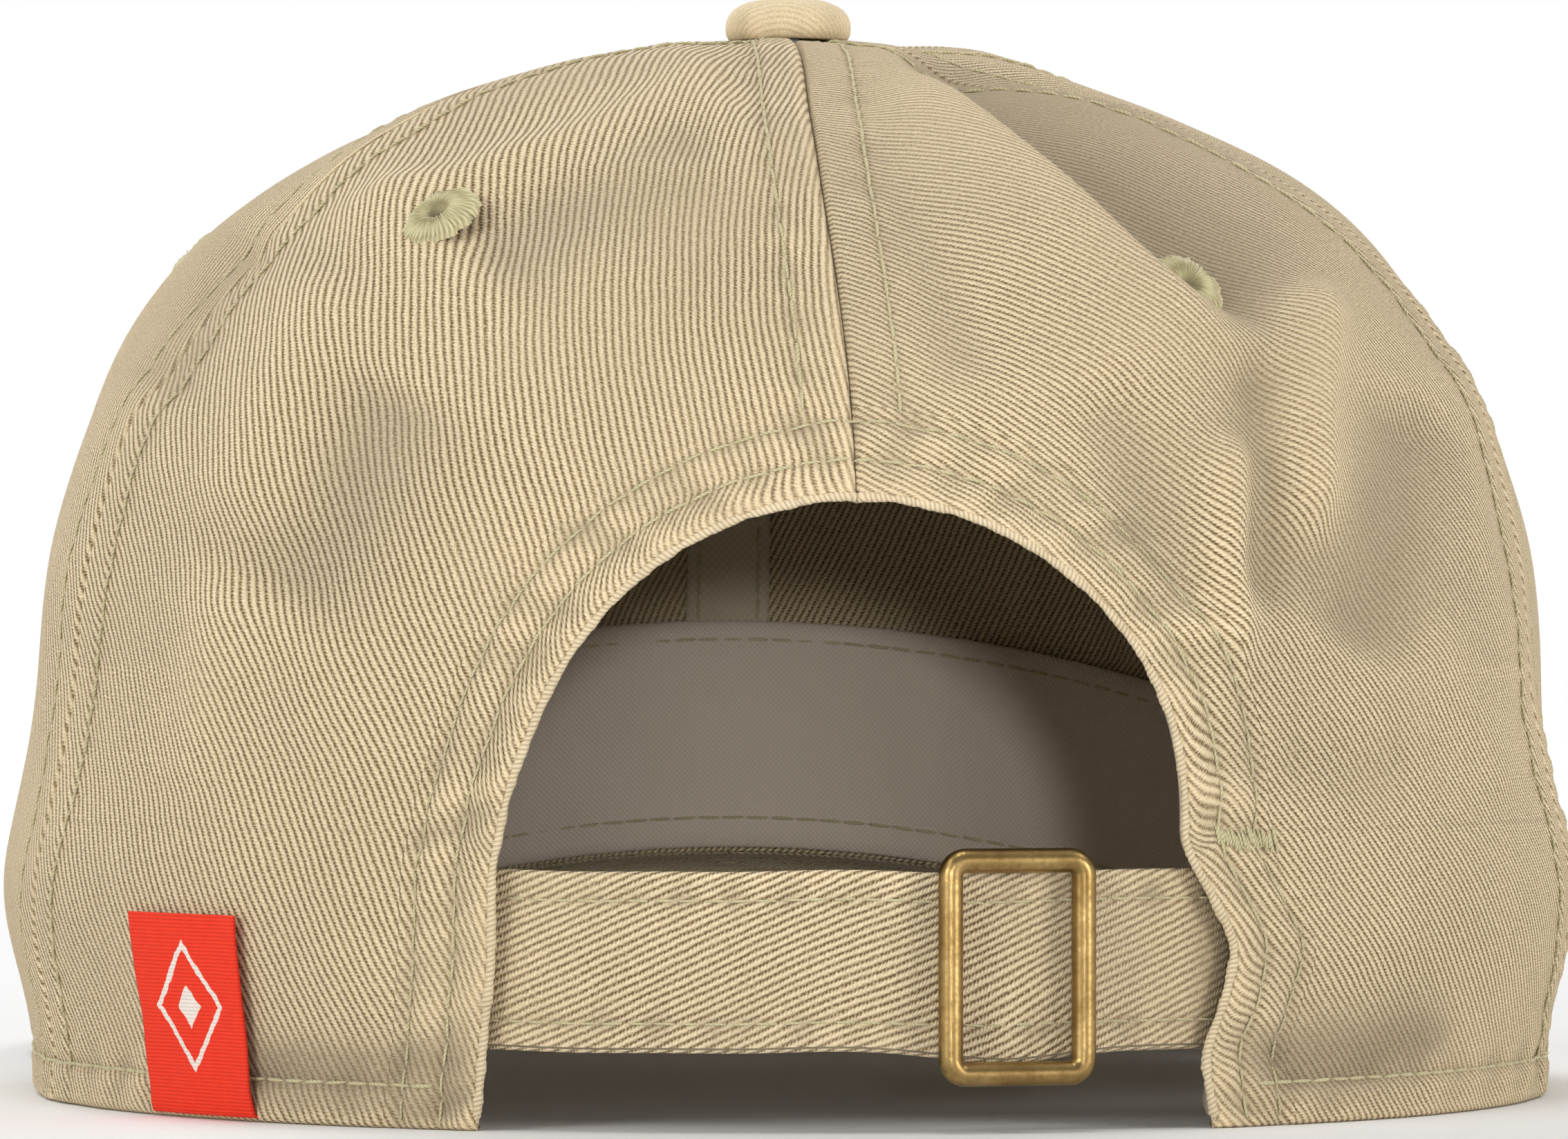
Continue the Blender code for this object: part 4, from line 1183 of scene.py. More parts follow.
# Sections of the eyelets, the button and the hem label, in mm: (radius, height), and for the
# label, whose fold lies round the hem, (depth out of the crown's face, height over the hem).
EYELET_PROFILE = np.array(
    [(0.75, -0.9), (0.85, -0.1), (1.15, 0.55), (1.7, 0.95), (2.5, 1.05), (3.3, 0.85), (4.1, 0.5)]
    + [(4.55, 0.2), (4.7, -0.25)]
)
BUTTON_PROFILE = np.array(
    [(0.02, 5.0), (1.5, 4.98), (3.2, 4.87), (4.6, 4.65), (5.7, 4.25), (6.5, 3.7), (7.05, 3.0)]
    + [(7.32, 2.2), (7.4, 1.4), (7.32, 0.7), (7.0, 0.1), (6.4, 0.0), (6.1, 0.6)]
)
LABEL_FOLD = np.array(
    [(0.55, 23), (0.55, 15), (0.55, 8), (0.55, 4), (0.55, 1.6), (0.3, 0.55), (-0.6, 0.28)]
    + [(-1.4, 0.5), (-1.7, 1.6), (-1.7, 6)]
)


def eyelet(name, seed):
    """A sewn eyelet: threads laid radially over a ring, round a small hole."""
    random = np.random.default_rng(seed)
    threads = 46
    columns = threads * 6
    angle = np.arange(columns) * TURN / columns
    which = np.arange(columns) // 6
    reach = random.uniform(-0.28, 0.28, threads)[which] * MM
    rise = random.uniform(0.85, 1.15, threads)[which]
    rope = np.abs(np.sin(angle * threads / 2)) ** 0.7
    out_at, high_at = EYELET_PROFILE[:, 0:1], EYELET_PROFILE[:, 1:2]
    radius = out_at * MM + reach[None, :] * smoothstep((out_at - 2) / 2.5)
    radius = radius * (1 + 0.035 * np.cos(2 * angle + seed))[None, :]
    height = high_at * MM * rise[None, :] * 0.85
    ridged = smoothstep((high_at + 0.3) / 0.6)
    height = height + 0.36 * MM * rope[None, :] * ridged
    azimuth, level = EYELETS[name]
    centre = skin(np.array([azimuth]), np.array([level]))[0]
    normal = crown_normal(azimuth, level)
    around = unit(np.cross(np.array([0, 0, 1.0]), normal))
    upward = np.cross(normal, around)
    out = radius[..., None] * (
        np.cos(angle)[None, :, None] * around + np.sin(angle)[None, :, None] * upward
    )
    sag = radius**2 / 2 / (95 * MM)
    points = centre + out + normal * (height - sag + 0.05 * MM)[..., None]
    faces = grid_faces(*radius.shape, closed=True)
    normals = np.broadcast_to(normal, (points.size // 3, 3))
    faces = face_outwards(points.reshape(-1, 3), faces, normals)
    rows = np.broadcast_to(np.arange(len(radius))[:, None] * 0.18 * MM, radius.shape)
    turns = np.broadcast_to(np.arange(columns) / 12, radius.shape)
    uv = np.stack([rows, turns], -1)
    piece = build("cap_eyelet_" + name, points, faces, eyelet_thread, uv)
    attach(piece, "crown")
    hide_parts("eyelet_" + name)


for index, panel_name in enumerate(PANELS):
    eyelet(panel_name, 50 + index)


def button_cover():
    """The covered button: cloth drawn over a low dome and gathered under its rim."""
    steps = run_lengths(BUTTON_PROFILE)
    fine = np.linspace(0, steps[-1], 46)
    radius = np.interp(fine, steps, BUTTON_PROFILE[:, 0])[:, None] * MM
    height = np.interp(fine, steps, BUTTON_PROFILE[:, 1])[:, None] * MM
    columns = 180
    angle = (np.arange(columns) * TURN / columns)[None, :]
    skirt = smoothstep((fine[:, None] - 5.5) / 3)
    ring = np.stack([np.cos(angle) * 7 * MM, np.sin(angle) * 7 * MM], -1)
    pleat = waves(ring, 4.5 * MM, 61, 8)[0][None, :]
    radius = radius + skirt * pleat * 0.14 * MM
    plan = np.stack([radius * np.cos(angle), radius * np.sin(angle)], -1)
    height = height + 0.06 * MM * waves(plan, 6 * MM, 62, 8)
    points = np.concatenate([plan, (height + BUTTON_BASE)[..., None]], -1)
    flat = fine[:, None] * MM
    right, up = flat * np.cos(angle), flat * np.sin(angle)
    uv = twill_uv(right, up, 78 * DEG)
    faces = grid_faces(len(fine), columns, closed=True)[:, ::-1]
    # Painted shade on the cloth gathered under the rim; pleats paler on their tops and darker between
    # them, painted highlight and shade.
    wear_and_shade = -0.8 * smoothstep((fine[:, None] - 9.2) / 1.5) + 0.5 * skirt * pleat
    wear_and_shade = np.broadcast_to(wear_and_shade, radius.shape)
    piece = build("cap_button", points, faces, button_cloth, uv, wear_and_shade)
    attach(piece, "crown")
    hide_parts("button_cover")


button_cover()


# --- strap, loop and buckle --------------------------------------------------------------


def strap_place(angle, radius, height):
    """A point round the strap's axis: the angle is from +Y, positive towards +X."""
    return np.stack(
        [radius * np.sin(angle), STRAP_AXIS_Y + radius * np.cos(angle), height + 0 * angle], -1
    )


def flat_section(width, thickness, columns):
    """A flat closed section with round edges: its place across, its depth out of the middle,
    and the distance round it from the middle of its face."""
    half, round_off = width / 2, thickness / 2
    run = np.linspace(-(half - round_off), half - round_off, columns)
    bend = np.linspace(90, -90, 9)[1:-1] * DEG
    top = np.stack([run, np.full(columns, round_off)], -1)
    right = np.stack([half - round_off + round_off * np.cos(bend), round_off * np.sin(bend)], -1)
    section = np.concatenate([top, right, top[::-1] * (1, -1), -right])
    return section, run_lengths(section) - half


def adjusting_strap():
    """The strap from the left leg, through the buckle and into the right pocket."""
    angles = np.linspace(STRAP_SEWN_END, -STRAP_TAIL_END, 260)[:, None]
    section, around = flat_section(STRAP_WIDTH, STRAP_THICKNESS, 64)
    across, depth = section[None, :, 0], section[None, :, 1]
    along = -angles * STRAP_RADIUS
    place = np.stack(np.broadcast_arrays(along, across), -1)
    face = smoothstep(depth / (0.4 * MM))
    edge = STRAP_WIDTH / 2 - np.abs(across)
    row = bump(np.abs(across) - STRAP_ROW, 0.6 * MM)
    pucker = waves(place * (1, 0.3), 6 * MM, 71, 7) * bump(edge - 2.6 * MM, 2.2 * MM)
    swell = 0.10 * MM * waves(place, 17 * MM, 72) - 0.1 * MM
    relief = face * (swell - 0.12 * MM * row + 0.07 * MM * pucker)
    sideways = 0.12 * MM * waves(place * (1, 0), 22 * MM, 73)
    in_buckle = bump(along - BUCKLE_AT * STRAP_RADIUS, 9 * MM)  # pressed wider by its frame
    sideways = sideways - 1.0 * MM * in_buckle * smoothstep(-across / (8 * MM))
    radius = STRAP_RADIUS - STRAP_THICKNESS / 2 + depth + relief
    points = strap_place(angles, radius, STRAP_HEIGHT + across + sideways)
    columns = section.shape[0]
    faces = grid_faces(len(angles), columns, closed=True)
    normals = (strap_place(angles, radius + depth, STRAP_HEIGHT + across) - points).reshape(-1, 3)
    faces = face_outwards(points.reshape(-1, 3), faces, normals)
    right, up = np.broadcast_arrays(along, around[None, :])
    uv = twill_uv(right, up, -66 * DEG)
    # Painted shade along the stitch rows, puckers paler on their tops as worn and darker between as
    # painted shade, and edges paler where worn.
    wear_and_shade = face * (0.5 * pucker - 0.5 * row) + 0.35 * bump(edge - 0.5 * MM, 0.6 * MM)
    # Painted shadow where the strap goes behind the arch's right leg.
    wear_and_shade = wear_and_shade - 2.4 * smoothstep((POCKET_MOUTH + 6.5 * MM - points[..., 0]) / (7 * MM))
    piece = build("cap_strap", points, faces, strap_cloth, uv, wear_and_shade)
    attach(piece, "crown")
    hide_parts("adjusting_strap")
    runs = []
    angles = np.linspace(STRAP_SEWN_END, -STRAP_TAIL_END, 300)
    normal = np.stack([np.sin(angles), np.cos(angles), 0 * angles], -1)
    for row_at in (-STRAP_ROW, STRAP_ROW):
        place = np.stack([-angles * STRAP_RADIUS, np.full(300, row_at)], -1)
        lift = 0.10 * MM * waves(place, 17 * MM, 72) - 0.22 * MM
        sideways = 0.12 * MM * waves(place * (1, 0), 22 * MM, 73)
        height = STRAP_HEIGHT + row_at + sideways
        runs.append((strap_place(angles, STRAP_RADIUS + lift, height), normal))
    stitching("stitching_strap", runs, radius=0.15 * MM, stitch=2.8 * MM, seed=5)


def strap_loop():
    """The short strap: out of the pocket, round the buckle's bar and back behind itself."""
    outer = LOOP_FACE - LOOP_LAYER / 2
    inner = LOOP_FACE - 1.5 * LOOP_LAYER
    nose = BAR_RADIUS + BAR_PLAY + LOOP_LAYER / 2
    start = -BUCKLE_AT
    turn = np.linspace(90, -90, 19)[1:-1] * DEG
    first = np.linspace(-LOOP_END, start, 90)
    back = np.linspace(start, -LOOP_END, 90)
    ease = smoothstep((start - back) / (5 * DEG))
    angles = np.concatenate([first, start + nose * np.cos(turn) / BAR_AT, back])
    round_bar = BAR_AT + nose * np.sin(turn)
    radii = np.concatenate([np.full(90, outer), round_bar, mix(BAR_AT - nose, inner, ease)])
    path = strap_place(angles, radii, np.full(len(angles), LOOP_HEIGHT))
    along = run_lengths(path)
    tangent = unit(np.gradient(path, axis=0))
    across = np.array([0, 0, 1.0])
    out = unit(np.cross(tangent, across))
    out *= np.sign((out[0] * (path[0] - np.array([0, STRAP_AXIS_Y, LOOP_HEIGHT]))).sum())
    section, around = flat_section(LOOP_WIDTH, LOOP_LAYER * 0.96, 44)
    round_path = section[None, :, 0:1] * across + section[None, :, 1:2] * out[:, None]
    points = path[:, None] + round_path
    faces = grid_faces(len(path), len(section), closed=True)
    faces = face_outwards(points.reshape(-1, 3), faces, round_path.reshape(-1, 3))
    right, up = np.broadcast_arrays(along[:, None], around[None, :])
    edge = LOOP_WIDTH / 2 - np.abs(section[None, :, 0])
    wear_and_shade = np.broadcast_to(0.35 * bump(edge - 0.5 * MM, 0.6 * MM), right.shape)
    uv = twill_uv(right, up, -60 * DEG)
    piece = build("cap_strap_loop", points, faces, strap_cloth, uv, wear_and_shade)
    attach(piece, "loop")
    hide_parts("strap_loop")


def swept(name, path, out, radius, closed, sides):
    """A round wire of brass along a path. Out is any direction that isn't along the path."""
    if closed:
        tangent = unit(np.roll(path, -1, axis=0) - np.roll(path, 1, axis=0))
    else:
        tangent = unit(np.gradient(path, axis=0))
    first = unit(np.cross(tangent, np.broadcast_to(out, path.shape)))
    second = np.cross(first, tangent)
    angle = (np.arange(sides) * TURN / sides)[None, :, None]
    circle = np.cos(angle) * first[:, None] + np.sin(angle) * second[:, None]
    points = path[:, None] + circle * radius
    faces = grid_faces(len(path), sides, closed=True)
    if closed:
        ids = np.arange(len(path) * sides).reshape(len(path), sides)
        last, start = ids[-1], ids[0]
        joint = np.stack([last, np.roll(last, -1), np.roll(start, -1), start], -1)
        faces = np.concatenate([faces, joint])
    faces = face_outwards(points.reshape(-1, 3), faces, circle.reshape(-1, 3))
    piece = build(name, points, faces, brass)
    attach(piece, "buckle")
    return piece


def buckle():
    """The rounded wire frame of the buckle, and its bar, bent forwards at both ends."""
    angle = -BUCKLE_AT
    out = np.array([np.sin(angle), np.cos(angle), 0])
    along = np.array([np.cos(angle), -np.sin(angle), 0])
    up = np.array([0, 0, 1.0])
    axis = np.array([0, STRAP_AXIS_Y, LOOP_HEIGHT])
    ring = STRAP_RADIUS + ROCKING_ROOM + WIRE_RADIUS - 0.3 * MM
    half_width, half_height = BUCKLE_WIDTH / 2 - WIRE_RADIUS, BUCKLE_HEIGHT / 2 - WIRE_RADIUS
    corner = 1.65 * MM
    signs = np.array([(1, 1), (-1, 1), (-1, -1), (1, -1)])
    centres = signs * (half_width - corner, half_height - corner)
    outline = []
    for quarter in range(4):
        turn = (quarter + np.linspace(0, 1, 11)) * np.pi / 2
        bend = corner * np.stack([np.cos(turn), np.sin(turn)], -1)
        leave, arrive = centres[quarter] + bend[-1], centres[(quarter + 1) % 4] + bend[-1]
        outline.append(centres[quarter] + bend)
        outline.append(mix(leave, arrive, np.linspace(0, 1, 14)[1:-1, None]))
    outline = np.concatenate(outline)
    path = axis + out * ring + outline[:, :1] * along + outline[:, 1:] * up
    piece = swept("buckle_wire", path, out, WIRE_RADIUS, True, 28)
    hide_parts("buckle_frame")

    ahead = ring - BAR_AT
    top = half_height
    bend = 1.2 * MM
    turn = np.linspace(90, 180, 9) * DEG
    upper = np.stack([bend + bend * np.cos(turn), top - bend + bend * np.sin(turn)], -1)
    upper = np.concatenate([[(ahead - 0.75 * WIRE_RADIUS, top)], upper])
    lower = upper[::-1] * (1, -1)
    middle = np.stack([np.zeros(16), np.linspace(upper[-1, 1], lower[0, 1], 18)[1:-1]], -1)
    staple = np.concatenate([upper, middle, lower])
    path = axis + out * (BAR_AT + staple[:, :1]) + staple[:, 1:] * up
    piece = swept("buckle_crossbar", path, along, BAR_RADIUS, False, 18)
    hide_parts("buckle_bar")


adjusting_strap()
strap_loop()
buckle()


# --- label -------------------------------------------------------------------------------


def hem_label():
    """The woven label, folded round the hem: outer leg, fold and short inner leg."""
    fold = LABEL_FOLD * MM
    steps = run_lengths(fold)
    fine = np.linspace(0, steps[-1], 70)
    off = np.interp(fine, steps, fold[:, 0])[:, None]
    height = np.interp(fine, steps, fold[:, 1])[:, None]
    across = np.linspace(-0.5, 0.5, 40)[None, :] * LABEL_WIDTH
    azimuth = LABEL_AT + (across + 0.02 * (height - LABEL_TOP / 2)) / (90 * MM)
    height = np.broadcast_to(height, azimuth.shape)
    level = level_at(azimuth, height)
    normal = crown_normal(azimuth, level)
    loose = smoothstep((-across - 4 * MM) / (6 * MM)) * smoothstep((height - 1 * MM) / (3 * MM))
    wave = 0.08 * MM * waves(np.stack(np.broadcast_arrays(across, height), -1), 9 * MM, 81)
    off = off + (0.35 * MM + wave + 0.55 * MM * loose) * (off > 0)
    base = crown(azimuth, level)
    outer = (base + normal * off[..., None]).reshape(-1, 3)
    grid = outer.reshape(*azimuth.shape, 3)
    down = np.gradient(grid, axis=0)
    sideways = np.gradient(grid, axis=1)
    facing = unit(np.cross(down, sideways))
    facing *= np.sign((facing[0, 0] * normal[0, 0]).sum())
    inner = (grid - facing * 0.32 * MM).reshape(-1, 3)
    faces = grid_faces(*azimuth.shape)
    uv = np.stack(np.broadcast_arrays(-across, (steps[-1] - fine)[:, None] - 8.5 * MM), -1)
    wear_and_shade = np.zeros(outer.shape[0])
    piece = shell(
        "cap_label", outer, inner, facing.reshape(-1, 3), faces, red_cloth, uv.reshape(-1, 2), wear_and_shade
    )
    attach(piece, "crown")
    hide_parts("hem_label")


hem_label()


# --- inside the crown --------------------------------------------------------------------


def seam_tape(name, seam, seed):
    """A folded tape over a seam's inside. Returns the runs of its two rows of stitches."""
    foot = 0.47 if name == "back" else 0.02
    lengths = np.arange(length_of(foot), length_of(0.972), 1.0 * MM)
    level = level_of(lengths)[:, None]
    middle = seam_azimuth(seam, level)
    points = crown(middle, level)
    distance = np.hypot(points[..., 0], points[..., 1])
    reach = np.minimum(TAPE_HALF_WIDTH / distance, 25 * DEG)
    share = spaced((-1, -0.9, 0.9, 1), (0.04, 0.1, 0.1, 0.04))[None, :]
    azimuth = middle + reach * share
    level = np.broadcast_to(level, azimuth.shape)
    arched = 0.35 * MM * (1 - np.abs(share) ** 4) - 0.12 * MM * bump(np.abs(share) - 0.72, 0.08)
    place = np.stack(np.broadcast_arrays(lengths[:, None], share * TAPE_HALF_WIDTH), -1)
    arched = arched + 0.08 * MM * waves(place, 7 * MM, seed)
    azimuth_flat, level_flat = azimuth.ravel(), level.ravel()
    inner = lining_side(azimuth_flat, level_flat, PANEL_THICKNESS + 0.25 * MM)
    normal = crown_normal(azimuth_flat, level_flat)
    face = inner - normal * (0.3 * MM + np.broadcast_to(arched, azimuth.shape).ravel())[:, None]
    faces = grid_faces(*azimuth.shape)
    uv = place.reshape(-1, 2)
    piece = shell(
        "cap_seam_tape_" + name, face, inner, -normal, faces, tape_cloth, uv, np.zeros(len(face))
    )
    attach(piece, "crown")
    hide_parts("seam_tape_" + name)
    runs = []
    for side in (-1, 1):
        az = (middle + side * 0.72 * reach)[:, 0]
        path = lining_side(az, level[:, 0], PANEL_THICKNESS + 0.85 * MM)
        runs.append((path, -crown_normal(az, level[:, 0])))
    return runs


def arch_facing():
    """The tape that faces the arch from inside."""
    along = np.concatenate([np.linspace(0.97, 1.2, 12)[:-1], np.linspace(1.2, 2, 110)])
    out = np.concatenate([[0.35, 0.5], np.linspace(1, 10.6, 26), [10.9, 11]]) * MM
    azimuth, level = round_arch(along[:, None], out[None, :])
    flat_azimuth, flat_level = azimuth.ravel(), level.ravel()
    normal = crown_normal(flat_azimuth, flat_level)
    inner = lining_side(flat_azimuth, flat_level, PANEL_THICKNESS + 0.1 * MM)
    face = inner - normal * 0.5 * MM
    count = np.arange(azimuth.shape[0])[:, None] * 0.6 * MM
    uv = np.stack(np.broadcast_arrays(count, out[None, :]), -1).reshape(-1, 2)
    faces = grid_faces(*azimuth.shape)
    piece = shell(
        "cap_arch_facing", face, inner, -normal, faces, tape_cloth, uv, np.zeros(len(face))
    )
    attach(piece, "crown")
    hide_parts("arch_facing")


def pocket_depth(azimuth):
    """How far inside the crown's face the sweatband's outer side lies."""
    extra = np.where(azimuth > 0, POCKET_EXTRA_LEFT, POCKET_EXTRA_RIGHT)
    fade = 1 - smoothstep((np.abs(azimuth) - POCKET_END) / POCKET_FADE)
    return BAND_DEPTH + extra * fade


def sweatband():
    """The folded cotton band inside the hem, with its stiffening hidden in it. Returns the runs
    of its two rows of stitches."""
    ends = (BAND_LEFT_END + 2.5 * DEG, TURN - BAND_RIGHT_END - 5.5 * DEG)
    round_front = np.linspace(*ends, 520)[:, None]
    azimuth = np.where(round_front > np.pi, round_front - TURN, round_front)
    rise = spaced((1.0 * MM, 3 * MM, 27 * MM, BAND_HEIGHT), [s * MM for s in (0.4, 0.9, 1.2, 0.3)])
    rise = rise[None, :]
    azimuth = np.broadcast_to(azimuth, (520, rise.shape[1]))
    level = level_at(azimuth, hem_height(azimuth) + rise)
    normal = crown_normal(azimuth, level)
    place = np.stack(np.broadcast_arrays(round_front * 90 * MM, rise), -1)
    soft = 0.18 * MM * waves(place, 16 * MM, 91)
    rounded = 0.8 * MM * (bump(rise - 1.0 * MM, 0.7 * MM) + bump(rise - BAND_HEIGHT, 0.7 * MM))
    row = sum(bump(rise - height, 0.8 * MM) for height in SWEATBAND_ROWS)
    depth = pocket_depth(azimuth)
    base = crown(azimuth, level)
    inside = base - normal * (depth + 1.7 * MM + soft - rounded - 0.25 * MM * row)[..., None]
    outside = base - normal * (depth + 0.05 * MM + 0.3 * rounded)[..., None]
    uv = place.reshape(-1, 2)
    faces = grid_faces(*azimuth.shape)
    piece = shell(
        "cap_sweatband",
        inside.reshape(-1, 3),
        outside.reshape(-1, 3),
        -normal.reshape(-1, 3),
        faces,
        lining_cloth,
        uv,
        np.zeros(azimuth.size),
    )
    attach(piece, "crown")
    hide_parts("sweatband", "sweatband_interlining")
    runs = []
    for height in SWEATBAND_ROWS:
        column = azimuth[:, 0]
        at = level_at(column, hem_height(column) + height)
        out = crown_normal(column, at)
        path = crown(column, at) - out * (pocket_depth(column) + 1.58 * MM)[:, None]
        runs.append((path, -out))
    return runs


inner_runs = []
for index, (seam_name, seam) in enumerate(SEAMS.items()):
    inner_runs += seam_tape(seam_name, seam, 100 + index)
arch_facing()
inner_runs += sweatband()
stitching("stitching_inside", inner_runs, seed=6)


# --- visor -------------------------------------------------------------------------------


def visor_edge(share):
    """The visor's front edge in plan, from -1 at one temple to 1 at the other."""
    table = np.array(VISOR_EDGE)
    along = np.abs(share) * (len(table) - 1)
    i = np.minimum(along.astype(int), len(table) - 2)
    t = (along - i)[:, None]
    padded = np.concatenate([[[-table[1, 0], table[1, 1]]], table, [2 * table[-1] - table[-2]]])
    before, first, last, after = padded[i], padded[i + 1], padded[i + 2], padded[i + 3]
    point = (
        2 * first
        + (last - before) * t
        + (2 * before - 5 * first + 4 * last - after) * t**2
        + (3 * first - before - 3 * last + after) * t**3
    ) / 2
    point[:, 0] *= np.where(share < 0, -1, 1)
    return point


def visor_place(u, v):
    """Points of the visor's underside. U runs across it and v from the crown forward."""
    share = 2 * u - 1
    azimuth = np.where(share < 0, -1, 1) * (np.pi - np.abs(share) * VISOR_REACH)
    level = level_at(azimuth, hem_height(azimuth) + VISOR_HEIGHT)
    foot = crown(azimuth, level)
    back = foot[:, :2] + unit(crown_normal(azimuth, level)[:, :2]) * VISOR_GAP
    front = visor_edge(share)
    front = front + unit(front - np.array([0, -80 * MM])) * VISOR_EXTRA
    plan = back[None] + (front - back)[None] * v[:, None, None]

    def camber(x):
        return HEM_RISE - x * x / 2 / VISOR_CAMBER_RADIUS

    at_hem = hem_height(azimuth) - camber(back[:, 0])
    drop = VISOR_PITCH * np.linalg.norm(plan - back[None], axis=-1)
    height = camber(plan[..., 0]) + at_hem[None] * (1 - v[:, None]) - drop
    return np.concatenate([plan, height[..., None]], -1)


def visor():
    """Both covers of the visor in one closed skin, with rows of stitches round its edge."""
    u = np.linspace(0, 1, 300)
    crown_edge, front_edge = visor_place(u, np.array([0.0, 1.0]))
    depth = np.linalg.norm(crown_edge - front_edge, axis=1)
    rim = 0.93 + 0.07 * np.sin(np.linspace(0, 1, 20)[1:] * np.pi / 2)
    v = np.concatenate([np.linspace(0, 0.93, 120), rim])
    mid = VISOR_HEIGHT / 2
    edge = 1 - smoothstep((1 - v) / 0.04)
    from_edge = (1 - v)[:, None] * depth[None, :]
    quilted = sum(bump(from_edge - row, 0.8 * MM) for row in VISOR_ROWS)
    place = visor_place(u, v)
    soft = 0.12 * MM * waves(place[..., :2], 9 * MM, 111)
    half = VISOR_HALF * np.sqrt(np.maximum(1 - edge**2.2, 0.0))[:, None]
    top = place.copy()
    low = place.copy()
    relief = soft - 0.3 * MM * quilted
    top[..., 2] += mid + half + relief * (1 - edge[:, None])
    low[..., 2] += mid - half - relief * (1 - edge[:, None])
    normals = np.broadcast_to(np.array([0, 0, 1.0]), (top.size // 3, 3))
    faces = grid_faces(len(v), len(u))
    outwards = unit(place[..., :2] - np.array([0, -80 * MM])) * (VISOR_HALF - half)[..., None]
    right, up = -place[..., 0] - outwards[..., 0], -place[..., 1] - outwards[..., 1]
    uv = twill_uv(right, up, 25 * DEG).reshape(-1, 2)
    # Painted shade along the quilted rows of stitches; the rim paler, as worn.
    wear_and_shade = (-0.4 * quilted + 0.35 * edge[:, None]).ravel()
    piece = shell(
        "cap_visor", top.reshape(-1, 3), low.reshape(-1, 3), normals, faces, twill_cloth, uv, wear_and_shade
    )
    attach(piece, "crown")
    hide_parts("visor_top_cover", "visor_bottom_cover")
    runs = []
    for row in VISOR_ROWS:
        keep = depth > row + 6 * MM
        share = 1 - row / depth[keep]
        columns = np.flatnonzero(keep)
        for surface, way in ((top, 1), (low, -1)):
            path = np.empty((len(columns), 3))
            for i, (at, column) in enumerate(zip(share, columns)):
                path[i] = [np.interp(at, v, surface[:, column, axis]) for axis in range(3)]
            path[:, 2] += way * 0.08 * MM
            runs.append((path, np.broadcast_to(np.array([0, 0, way * 1.0]), path.shape)))
    stitching("stitching_visor", runs, seed=7)


visor()

carried_over = {"button_shell": steel, "button_rivet": steel, "visor_board": stiff_board}
for node, finish in carried_over.items():
    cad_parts[node].data.materials.clear()
    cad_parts[node].data.materials.append(finish)


# --- floor, lights and camera ------------------------------------------------------------

def floor():
    """A pale floor that fades into the white surroundings."""
    mesh = bpy.data.meshes.new("floor")
    angle = np.arange(96) * TURN / 96
    ring = np.stack([np.cos(angle), np.sin(angle), np.zeros(96)], -1) * FLOOR_REACH
    mesh.from_pydata(ring.tolist(), [], [list(range(96))])
    obj = linked("floor", mesh)
    f = Finish("floor_paint")
    place = f.object_place()
    grain = f.noise(place, 3, 2.0)
    f.set(Base_Color=f.blend(grain, (0.83, 0.83, 0.83), (0.86, 0.86, 0.86)), Roughness=0.9)
    far = f.node("VectorMath", {0: place}, operation="LENGTH").outputs["Value"]
    fade = f.node("MapRange", {0: far, 1: 0.35, 2: FLOOR_REACH, 3: 1.0, 4: 0.0})
    fade.interpolation_type = "SMOOTHSTEP"
    f.set(Alpha=fade.outputs[0])
    mesh.materials.append(f.material)


def surroundings():
    """White walls and floor, and a darker ceiling, so that little light comes from above."""
    world = bpy.context.scene.world or bpy.data.worlds.new("world")
    bpy.context.scene.world = world
    world.use_nodes = True
    tree = world.node_tree
    place = tree.nodes.new("ShaderNodeTexCoord")
    split = tree.nodes.new("ShaderNodeSeparateXYZ")
    tree.links.new(place.outputs["Generated"], split.inputs[0])
    ramp = tree.nodes.new("ShaderNodeMapRange")
    ramp.interpolation_type = "SMOOTHSTEP"
    for socket, value in zip(list(ramp.inputs)[1:5], (0.1, 0.35, WALL_LIGHT, CEILING_LIGHT)):
        socket.default_value = value
    tree.links.new(split.outputs[2], ramp.inputs[0])
    background = tree.nodes["Background"]
    background.inputs["Color"].default_value = (1, 1, 1, 1)
    tree.links.new(ramp.outputs[0], background.inputs["Strength"])


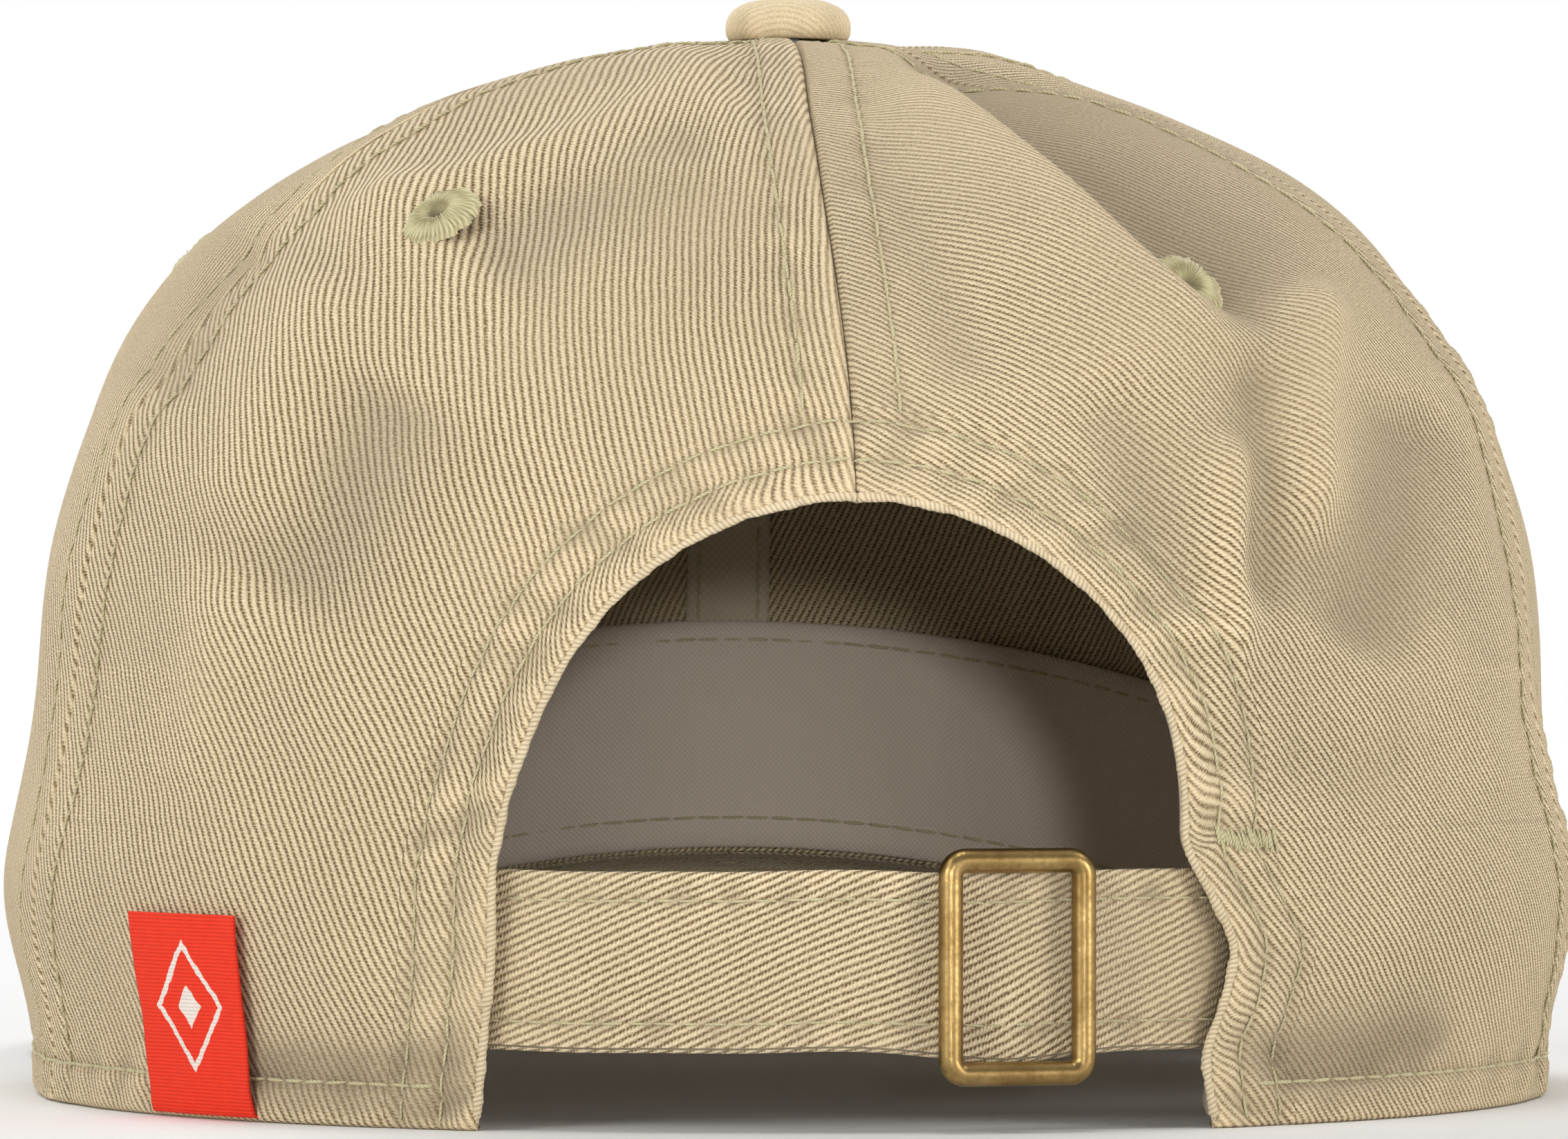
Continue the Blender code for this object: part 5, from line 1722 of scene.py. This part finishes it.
def aim(obj, place, look):
    """Puts a light or the camera at a place, looking in a direction."""
    turn = look.to_track_quat("-Z", "Y").to_matrix().to_4x4()
    obj.matrix_world = Matrix.Translation(place) @ turn


def area_light(name, azimuth, elevation, distance, size, power, colour=(1, 1, 1)):
    """A soft light aimed at the crown. The azimuth is from the back, positive towards +X."""
    light = bpy.data.lights.new(name, "AREA")
    light.shape = "DISK"
    light.size = size
    light.energy = power
    light.color = colour
    target = Vector((0, 0, 0.06))
    level = np.cos(elevation)
    out = Vector((np.sin(azimuth) * level, np.cos(azimuth) * level, np.sin(elevation)))
    place = target + out * distance
    aim(linked(name, light), place, target - place)


def arch_light():
    """A narrow soft spot through the arch, so that the inside of the crown isn't black."""
    light = bpy.data.lights.new("arch_light", "SPOT")
    light.energy = 34
    light.spot_size = 4.2 * DEG
    light.spot_blend = 0.8
    light.shadow_soft_size = 0.05
    target = Vector((0, 0.09, 0.046))
    place = target + Vector((0.04, 1.6, 0.1))
    aim(linked("arch_light", light), place, target - place)


def camera():
    """The main view: level, from behind and a little to the wearer's left."""
    data = bpy.data.cameras.new("camera")
    data.lens = 233
    data.sensor_width = 36
    data.clip_end = 60
    obj = linked("camera", data)
    turn = 4.5 * DEG
    right = Vector((-np.cos(turn), np.sin(turn), 0))
    place = Vector((1.2 * np.sin(turn), 1.2 * np.cos(turn), 0.0614)) - right * 0.0005
    look = Vector((-np.sin(turn), -np.cos(turn), 0))
    aim(obj, place, look)
    bpy.context.scene.camera = obj


floor()
surroundings()
area_light("key", 45 * DEG, 14 * DEG, 1.6, 0.6, 8.5, (1, 0.99, 0.96))
area_light("fill", -50 * DEG, 6 * DEG, 1.6, 0.6, 8, (1, 0.96, 0.91))
area_light("top", 0 * DEG, 80 * DEG, 1.6, 0.6, 5.5)
area_light("top_left", 60 * DEG, 45 * DEG, 1.6, 0.6, 3)
area_light("top_right", -70 * DEG, 45 * DEG, 1.6, 0.6, 3)
arch_light()
area_light("front_key", 150 * DEG, 42 * DEG, 1.7, 0.8, 12)
area_light("front_fill", -130 * DEG, 35 * DEG, 1.8, 0.8, 7)
bpy.context.scene.view_settings.view_transform = "Standard"
camera()
